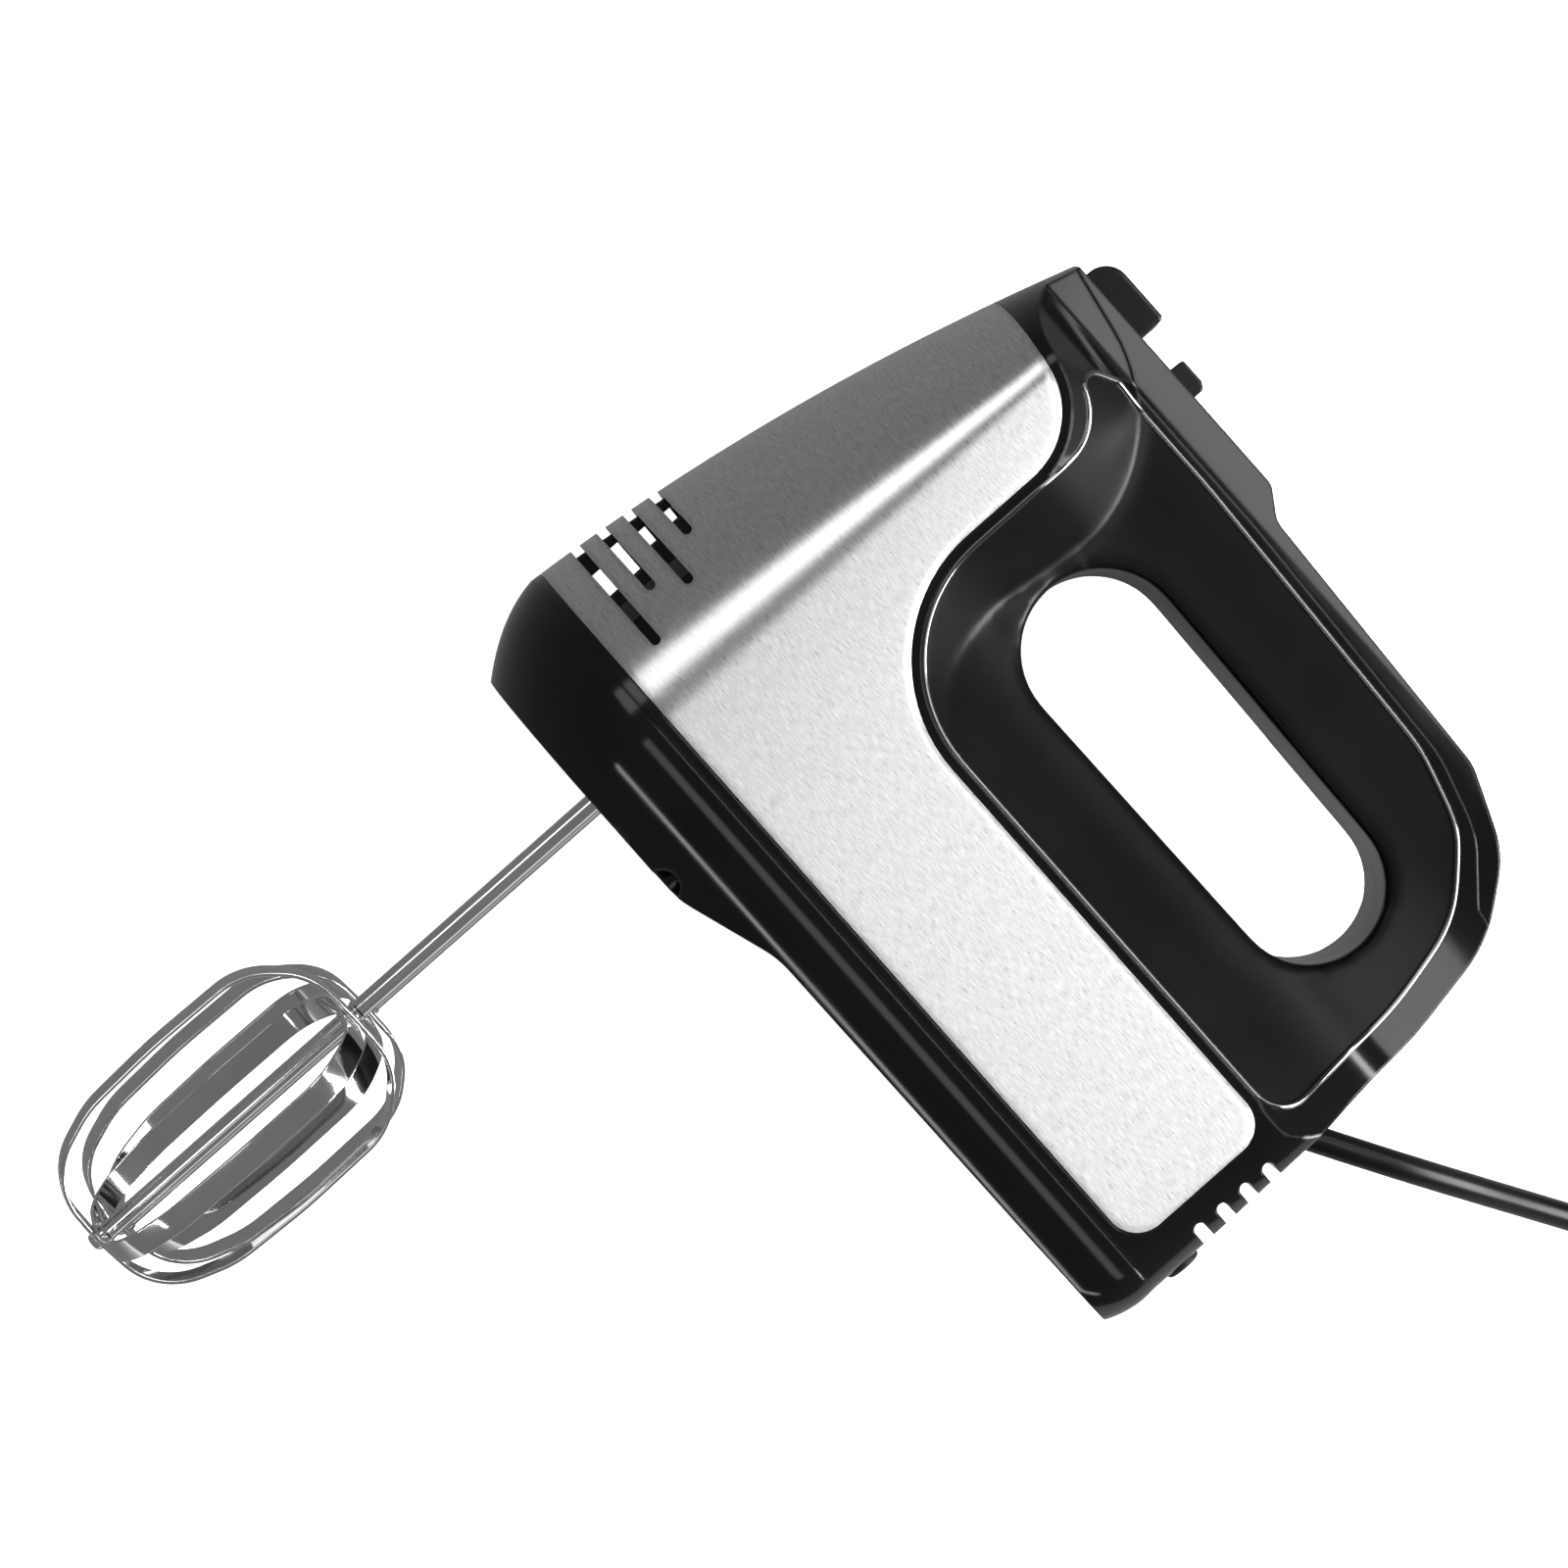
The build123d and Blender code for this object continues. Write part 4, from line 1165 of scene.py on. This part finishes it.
@dataclass
class Fixings:
    """The housing screws and the heel's feet."""

    foot_height: float = -3.9
    foot_side: float = 29
    foot_profile: tuple[tuple[float, float], ...] = (
        (-129.8, 0), (-129.8, 3.2), (-129.6, 3.7), (-129.2, 4.0), (-128.4, 4.0), (-128.4, 1.8), (-125.6, 1.8),
        (-125.4, 0),
    )

    def make_screws(self) -> None:
        """Slotted screws, joined as one piece."""
        whole: bpy.types.Object | None = None
        for y, z, seat in SCREWS:
            for side in (1, -1):
                profile = [(seat - 2.2, 0), (seat - 2.2, 2.5), (seat - 1.9, 2.9), (seat - 1.4, 3.1), (seat, 3.1),
                           (seat, 1.5), (seat + 16, 1.5), (seat + 17, 0)]
                bm = turned(profile, 40)
                bmesh.ops.translate(bm, vec=(0, y, side * z), verts=bm.verts)
                screw = as_object(bm, "screw")
                slot = block((seat - 3, seat - 1.1), (y - 4, y + 4), (side * z - 0.42, side * z + 0.42))
                carve(screw, slot, Cut.TAKE_AWAY)
                if whole is None:
                    whole = screw
                else:
                    carve(whole, screw, Cut.JOIN)
                    discard(screw)
        placed(whole, "case_screws", FINISHES["nickel"], "housing", ("housing_screws",), 30)

    def make_feet(self) -> None:
        """Two rubber feet with rounded rims on the heel."""
        feet = []
        for side in (1, -1):
            foot = turned(list(self.foot_profile), 40)
            bmesh.ops.rotate(foot, cent=(0, 0, 0), matrix=Matrix.Rotation(pi / 2, 3, "Z"), verts=foot.verts)
            bmesh.ops.translate(foot, vec=(self.foot_height, 0, side * self.foot_side), verts=foot.verts)
            feet.append(foot)
        pads = as_object(gathered(feet), "feet")
        placed(pads, "heel_feet_pads", FINISHES["black_rubber"], "housing", ("heel_feet",))


# ---------------------------------------------------------------- beaters


@dataclass
class Beater:
    """One beater: a stem and two crossed flat-wire hoops."""

    letter: str
    phase: float
    side: int
    y: float = BEATER_Y
    z: float = BEATER_Z
    top: float = -99.3
    foot: float = -170.9
    reach: float = 24.9
    width: float = 5.5
    thickness: float = 0.9

    def in_place(self, bm: bmesh.types.BMesh, extra: float = 0.0) -> bmesh.types.BMesh:
        """Turns and moves a shape from the X axis to this beater's axis.

        Args:
            bm: the shape.
            extra: how many degrees further it is turned.

        Returns:
            The same shape.
        """
        turn = Matrix.Rotation(radians(self.phase + extra), 3, "X")
        bmesh.ops.rotate(bm, cent=(0, 0, 0), matrix=turn, verts=bm.verts)
        bmesh.ops.translate(bm, vec=(0, self.y, self.side * self.z), verts=bm.verts)
        return bm

    def cage(self) -> list[Corner]:
        """The outline of a hoop's outer face.

        Returns:
            Its corners, round the closed outline.
        """
        right = [(self.top - 0.4, 14, 16), (self.top - 11, 24.4, 16), (-134, self.reach + 0.1, 110),
                 (-153, self.reach - 0.9, 24), (self.foot + 1, 17.5, 16)]
        left = [(x, -y, radius) for x, y, radius in reversed(right)]
        return [(self.top, 0, 0), *right, (self.foot, 0, 0), *left]

    def hoop(self, inset: float) -> bmesh.types.BMesh:
        """A closed flat-wire hoop with a slightly crowned outer face and eased edges.

        Args:
            inset: how far it is set in from the outer hoop.

        Returns:
            The hoop, about the X axis.
        """
        outer = rounded(grown(self.cage(), -inset))
        inner = rounded(grown(self.cage(), -inset - self.thickness))
        half = self.width / 2
        bm = bmesh.new()
        first: list[bmesh.types.BMVert] = []
        loop: list[bmesh.types.BMVert] = []
        for out, into in zip(outer, inner):
            toward = (out - into).normalized() * 0.12
            ring = [(out.x, out.y, -half), (out.x + toward.x, out.y + toward.y, 0), (out.x, out.y, half),
                    (into.x, into.y, half), (into.x, into.y, -half)]
            verts = [bm.verts.new(point) for point in ring]
            for pair in zip(verts, verts[1:] + verts[:1]):
                bm.edges.new(pair)
            if loop:
                self.bridge(bm, loop, verts)
            first = first or verts
            loop = verts
        self.bridge(bm, loop, first)
        bmesh.ops.recalc_face_normals(bm, faces=bm.faces)
        rounded_edges(bm, 0.2, 2, 60)
        return bm

    @staticmethod
    def bridge(bm: bmesh.types.BMesh, one: list[bmesh.types.BMVert], two: list[bmesh.types.BMVert]) -> None:
        """Joins two rings of vertices with a band of faces."""
        edges = [bm.edges.get(pair) for ring in (one, two) for pair in zip(ring, ring[1:] + ring[:1])]
        bmesh.ops.bridge_loops(bm, edges=edges)

    def build(self) -> None:
        """Makes the stem and both hoops."""
        body = f"beater_{self.letter}"
        finish = FINISHES["polished_steel"]
        profile = [(self.foot - 1.3, 0), (self.foot - 1.3, 1.3), (self.foot - 0.9, 1.9), (self.foot - 0.2, 2.1),
                   (self.foot + 1.4, 2.1), (self.foot + 1.8, 2.5), (self.foot + 2.6, 2.5), (self.foot + 3.0, 2.1),
                   (self.top - 3.0, 2.1), (self.top - 2.6, 2.5), (self.top - 2.0, 2.5), (self.top - 1.7, 2.1),
                   (self.top + 0.4, 2.1), (self.top + 0.6, 2.45), (self.top + 1.2, 2.45), (self.top + 1.5, 2.1),
                   (3.0, 2.1), (3.8, 1.3), (3.8, 0)]
        stem = as_object(self.in_place(turned(profile, 48)), "stem")
        wings = block((-13, -8), (-3.2, 3.2), (-0.5, 0.5))
        carve(stem, self.in_place(wings), Cut.JOIN)
        placed(
            stem, f"beater_{self.letter}_stem", finish, body, (f"beater_stem_{self.letter}",), 40
        )
        for name, inset, quarter in (("outer", 0.0, 0.0), ("inner", self.thickness + 0.15, 90.0)):
            ring = as_object(self.in_place(self.hoop(inset), quarter), "ring")
            placed(ring, f"beater_{self.letter}_{name}_hoop", finish, body, (f"{name}_hoop_{self.letter}",),
                   50)


# ---------------------------------------------------------------- the lead


@dataclass
class Lead:
    """The mains lead with its strain relief, its coil and its plug."""

    diameter: float = 6.0
    exit: tuple[float, float, float] = (32.2, -127.1, 0.0)
    tilt: float = 30.4
    coil_centre: tuple[float, float] = (123.0, -204.8)
    floor: float = -HALF_WIDTH
    points_per_turn: int = 14
    start_angle: float = 188.07
    coil_radius: float = 42.0
    turn_pitch: float = 6.3
    last_radius: float = 42.4
    climb: tuple[float, float] = (2.4, 2.7)
    layers: tuple[float, float] = (3.0, 9.1)
    turns: float = 4.524
    route: tuple[tuple[float, float, float], ...] = (
        (32.2, -127.1, 0), (41.3, -142.6, -0.8), (51.5, -159.9, -10), (61.6, -177.1, -25.5), (71.7, -194.3, -38),
        (81.4, -210.7, -40),
    )
    tail: tuple[tuple[float, float, float], ...] = (
        (40.5, 12, 8.0), (44.2, 26, 5.2), (44.6, 41, 5.0), (44.0, 56, 6.85),
    )

    def coil(self) -> list[Vector]:
        """The coil's turns: inwards on the surface, then outwards on top.

        Returns:
            Points along the turns.
        """
        points = []
        count = round(self.turns * self.points_per_turn)
        climb_from, climb_to = self.climb
        low, high = (self.floor + layer for layer in self.layers)
        inner = self.coil_radius - self.turn_pitch * climb_from
        for step in range(1, count):
            turn = self.turns * step / count
            angle = radians(self.start_angle + 360 * turn)
            share = min(1.0, max(0.0, (turn - climb_from) / (climb_to - climb_from)))
            if turn < climb_from:
                radius = self.coil_radius - self.turn_pitch * turn
            else:
                radius = inner + (self.last_radius - inner) * (turn - climb_from) / (self.turns - climb_from)
            x = self.coil_centre[0] + radius * cos(angle)
            y = self.coil_centre[1] + radius * sin(angle)
            points.append(Vector((x, y, low + (high - low) * share)))
        return points

    def tail_points(self) -> list[Vector]:
        """The stretch from the coil to the plug."""
        centre_x, centre_y = self.coil_centre
        return [Vector((centre_x + x, centre_y + y, self.floor + z)) for x, y, z in self.tail]

    def heading(self) -> Matrix:
        """Turns +X to the way the plug points."""
        way = self.tail_points()[-1] - self.tail_points()[-2]
        return Vector((way.x, way.y, 0)).to_track_quat("X", "Z").to_matrix().to_4x4()

    def make_plug(self) -> tuple[bpy.types.Object, bpy.types.Object]:
        """The moulded plug with a ribbed neck, and its two pins.

        Returns:
            The moulding and the pins.
        """
        rings = []
        sections = [
            (-2, 3.0, 3.3, 2.9), (0, 3.4, 3.8, 3.0), (0.6, 4.0, 4.5, 3.2), (2, 4.1, 4.6, 3.3), (2.4, 3.7, 4.2, 3.0),
            (3.2, 3.7, 4.2, 3.0), (3.6, 4.2, 4.7, 3.3), (5, 4.3, 4.8, 3.3), (5.4, 3.9, 4.4, 3.1),
            (6.2, 3.9, 4.4, 3.1),
            (6.6, 4.5, 5.0, 3.4), (8.2, 4.8, 6.0, 3.6), (9.5, 5.8, 9.0, 3.8), (11.5, 6.5, 11.2, 4.0),
            (14, 6.85, 12.0, 4.0), (20, 6.6, 11.7, 4.0), (26, 6.85, 12.0, 4.0), (32.6, 6.85, 12.0, 4.0),
            (33.4, 6.6, 11.75, 3.8), (34.0, 5.9, 11.1, 3.4),
        ]
        for x, half_z, half_y, corner in sections:
            radius = corner * HALF_ROUND
            outline = rounded([(-half_z, -half_y, radius), (half_z, -half_y, radius), (half_z, half_y, radius),
                               (-half_z, half_y, radius)])
            rings.append([Vector((x, p.y, p.x)) for p in outline])
        body = as_object(rings_to_solid(rings), "plug")
        end = self.tail_points()[-1]
        spot = Matrix.Translation(end) @ self.heading()
        pins = []
        for side in (1, -1):
            pin = turned([(33.5, 0), (33.5, 2.0), (51.6, 2.0), (52.5, 1.7), (52.9, 1.1), (53.0, 0)], 32)
            bmesh.ops.translate(pin, vec=(0, side * 9.3, 0), verts=pin.verts)
            pins.append(pin)
        prongs = as_object(gathered(pins), "pins")
        for thing in (body, prongs):
            thing.data.transform(spot)
        placed(body, "plug_moulding", FINISHES["lead_black"], "housing", ("plug_body",), 35)
        placed(prongs, "plug_prongs", FINISHES["nickel"], "housing", ("plug_pins",), 40)
        return body, prongs

    def make_relief(self) -> bpy.types.Object:
        """The tapered strain relief, with rings moulded round it.

        Returns:
            The strain relief.
        """
        profile: list[tuple[float, float]] = [(-33.6, 0), (-33.6, 7.0), (-30.6, 7.0), (-30.6, 5.2), (-21, 5.2)]
        rings = 5
        for ring in range(rings):
            start = -17.5 + 3.4 * ring
            radius = 5.0 - 1.3 * ring / rings
            profile += [(start, radius), (start + 0.3, radius - 0.7), (start + 1.3, radius - 0.75),
                        (start + 1.6, radius - 0.05)]
        profile += [(-0.4, 3.8), (0, 3.5), (0, 0)]
        bm = turned(profile, 48)
        angle = -radians(90 - self.tilt)
        bmesh.ops.rotate(bm, cent=(0, 0, 0), matrix=Matrix.Rotation(angle, 3, "Z"), verts=bm.verts)
        bmesh.ops.translate(bm, vec=self.exit, verts=bm.verts)
        return placed(as_object(bm, "relief"), "strain_relief_cone", FINISHES["black_rubber"], "housing",
                      ("cord_strain_relief",), 40)

    def build(self) -> None:
        """Lays the lead as one smooth line and hangs its pieces on it."""
        line = [Vector(point) for point in self.route] + self.coil() + self.tail_points()
        curve = bpy.data.curves.new("mains_lead", "CURVE")
        curve.dimensions = "3D"
        curve.bevel_depth = self.diameter / 2 * MM
        curve.bevel_resolution = 5
        curve.use_fill_caps = True
        curve.resolution_u = 5
        spline = curve.splines.new("NURBS")
        spline.points.add(len(line) - 1)
        for point, spot in zip(spline.points, line):
            point.co = (*(spot * MM + SHIFT), 1.0)
        spline.order_u = 3
        spline.use_endpoint_u = True
        curve.materials.append(FINISHES["lead_black"])
        cord = bpy.data.objects.new("mains_lead", curve)
        bpy.context.scene.collection.objects.link(cord)
        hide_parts("cord", "cord_coil", "cord_tail")
        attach(cord, "housing")
        body, prongs = self.make_plug()
        relief = self.make_relief()


def dress_inner_parts() -> None:
    """Gives every solid that stays, inside and out, its own finish."""
    slots = {entry["node"]: entry["material_slot"] for entry in frame["record"]["subparts"]}
    for name, node in frame["nodes"].items():
        finish = FINISHES.get(slots[name], FINISHES["dark_steel"])
        node.data.materials.clear()
        node.data.materials.append(finish)


@dataclass
class Studio:
    """The floor, the lights and the camera."""

    lens: float = 118.8
    distance: float = 1.1
    turn: float = -41.44

    def camera(self) -> None:
        """The camera, looking straight down."""
        data = bpy.data.cameras.new("camera")
        data.lens = self.lens
        data.sensor_width = 36.0
        eye = bpy.data.objects.new("camera", data)
        bpy.context.scene.collection.objects.link(eye)
        eye.location = (SHIFT.x, SHIFT.y, SHIFT.z + self.distance)
        eye.rotation_euler = (0, 0, radians(self.turn))
        bpy.context.scene.camera = eye

    @staticmethod
    def lamp(name: str, size: tuple[float, float], glow: float, spot: Vector) -> bpy.types.Object:
        """Hangs one soft rectangular light, facing down.

        Args:
            name: the light's name.
            size: its length and width in metres.
            glow: how bright its face is.
            spot: its place from the mid point, in metres.

        Returns:
            The light.
        """
        data = bpy.data.lights.new(name, "AREA")
        data.shape = "RECTANGLE"
        data.size, data.size_y = size
        data.energy = glow * pi * size[0] * size[1]
        lamp = bpy.data.objects.new(name, data)
        bpy.context.scene.collection.objects.link(lamp)
        lamp.location = SHIFT + spot
        lamp.visible_camera = False
        return lamp

    def panel(
        self, name: str, x: tuple[float, float], y: tuple[float, float], height: float, glow: float
    ) -> None:
        """A level soft panel over the mixer, given by its spans along X and Y."""
        middle = Vector(((x[0] + x[1]) / 2, (y[0] + y[1]) / 2, height))
        self.lamp(name, (x[1] - x[0], y[1] - y[0]), glow, middle)

    def card(self, name: str, spot: Vector, size: tuple[float, float], glow: float) -> None:
        """A soft panel that stands and faces the mixer."""
        lamp = self.lamp(name, size, glow, spot)
        lamp.rotation_euler = (-spot).to_track_quat("-Z", "Y").to_euler()

    @staticmethod
    def dim_in_mirrors(material: bpy.types.Material) -> None:
        """Makes the floor dark in front of the nose and pale behind to whatever mirrors it.

        Args:
            material: the floor's material.
        """
        nodes, links = material.node_tree.nodes, material.node_tree.links
        place = nodes.new("ShaderNodeTexCoord")
        split = nodes.new("ShaderNodeSeparateXYZ")
        links.new(place.outputs["Object"], split.inputs[0])
        share = nodes.new("ShaderNodeMapRange")
        share.inputs["From Min"].default_value = -0.30
        share.inputs["From Max"].default_value = 0.02
        share.inputs["To Min"].default_value = 1.10
        share.inputs["To Max"].default_value = 0.22
        links.new(split.outputs["Y"], share.inputs["Value"])
        flag = nodes.new("ShaderNodeEmission")
        links.new(share.outputs["Result"], flag.inputs["Strength"])
        rays = nodes.new("ShaderNodeLightPath")
        mixed = nodes.new("ShaderNodeMixShader")
        links.new(rays.outputs["Is Glossy Ray"], mixed.inputs[0])
        links.new(nodes["Principled BSDF"].outputs[0], mixed.inputs[1])
        links.new(flag.outputs[0], mixed.inputs[2])
        links.new(mixed.outputs[0], nodes["Material Output"].inputs["Surface"])

    @staticmethod
    def pale_backdrop(world: bpy.types.World) -> None:
        """A pale backdrop that lights the mixer only a little.

        Args:
            world: the studio's world.
        """
        nodes, links = world.node_tree.nodes, world.node_tree.links
        rays = nodes.new("ShaderNodeLightPath")
        glow = nodes.new("ShaderNodeMapRange")
        glow.inputs["To Min"].default_value = 0.21
        glow.inputs["To Max"].default_value = 0.92
        links.new(rays.outputs["Is Camera Ray"], glow.inputs["Value"])
        links.new(glow.outputs["Result"], nodes["Background"].inputs["Strength"])

    def build(self) -> None:
        """Sets up the floor and the lights."""
        bm = bmesh.new()
        bmesh.ops.create_grid(bm, x_segments=1, y_segments=1, size=4.0)
        floor = as_object(bm, "floor")
        floor.location.z = -0.0005
        material = bpy.data.materials.new("pale_floor")
        material.use_nodes = True
        shader = material.node_tree.nodes["Principled BSDF"]
        shader.inputs["Base Color"].default_value = (0.93, 0.93, 0.93, 1)
        shader.inputs["Emission Color"].default_value = (1, 1, 1, 1)
        shader.inputs["Emission Strength"].default_value = 0.80
        shader.inputs["Roughness"].default_value = 0.9
        shader.inputs["Specular IOR Level"].default_value = 0.1
        self.dim_in_mirrors(material)
        floor.data.materials.append(material)
        world = bpy.data.worlds.new("studio")
        bpy.context.scene.world = world
        world.use_nodes = True
        world.node_tree.nodes["Background"].inputs[0].default_value = (1, 1, 1, 1)
        self.pale_backdrop(world)
        self.panel("upper_panel", (0.42, 1.25), (-1.0, 0.12), 1.6, 5.2)
        self.panel("lower_panel", (-0.55, -0.30), (-1.0, 0.12), 1.6, 2.0)
        self.panel("nose_panel", (-0.25, 1.2), (0.60, 1.15), 1.6, 2.4)
        self.panel("rim_strip", (1.9, 2.2), (-1.6, 0.4), 1.5, 18.0)
        self.panel("lower_strip", (-2.2, -2.0), (-1.6, 0.2), 1.5, 10.0)
        self.card("bowl_card", Vector((0.80, -1.05, 0.40)), (0.9, 0.6), 34.0)
        bpy.context.scene.view_settings.view_transform = "Standard"


def main() -> None:
    """Builds the mixer and its studio in order."""
    logging.basicConfig(level=logging.INFO, format="%(message)s")
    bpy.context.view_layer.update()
    studio = Studio()
    studio.camera()
    Lead().build()
    dress_inner_parts()
    casing = Casing()
    casing.make_steel()
    casing.make_shell()
    casing.make_pan()
    controls = Controls()
    controls.make_eject()
    controls.make_slider()
    controls.make_turbo()
    fixings = Fixings()
    fixings.make_screws()
    fixings.make_feet()
    Beater("a", 21.0, 1).build()
    Beater("b", 32.0, -1).build()
    studio.build()


if __name__ == "__main__":
    main()
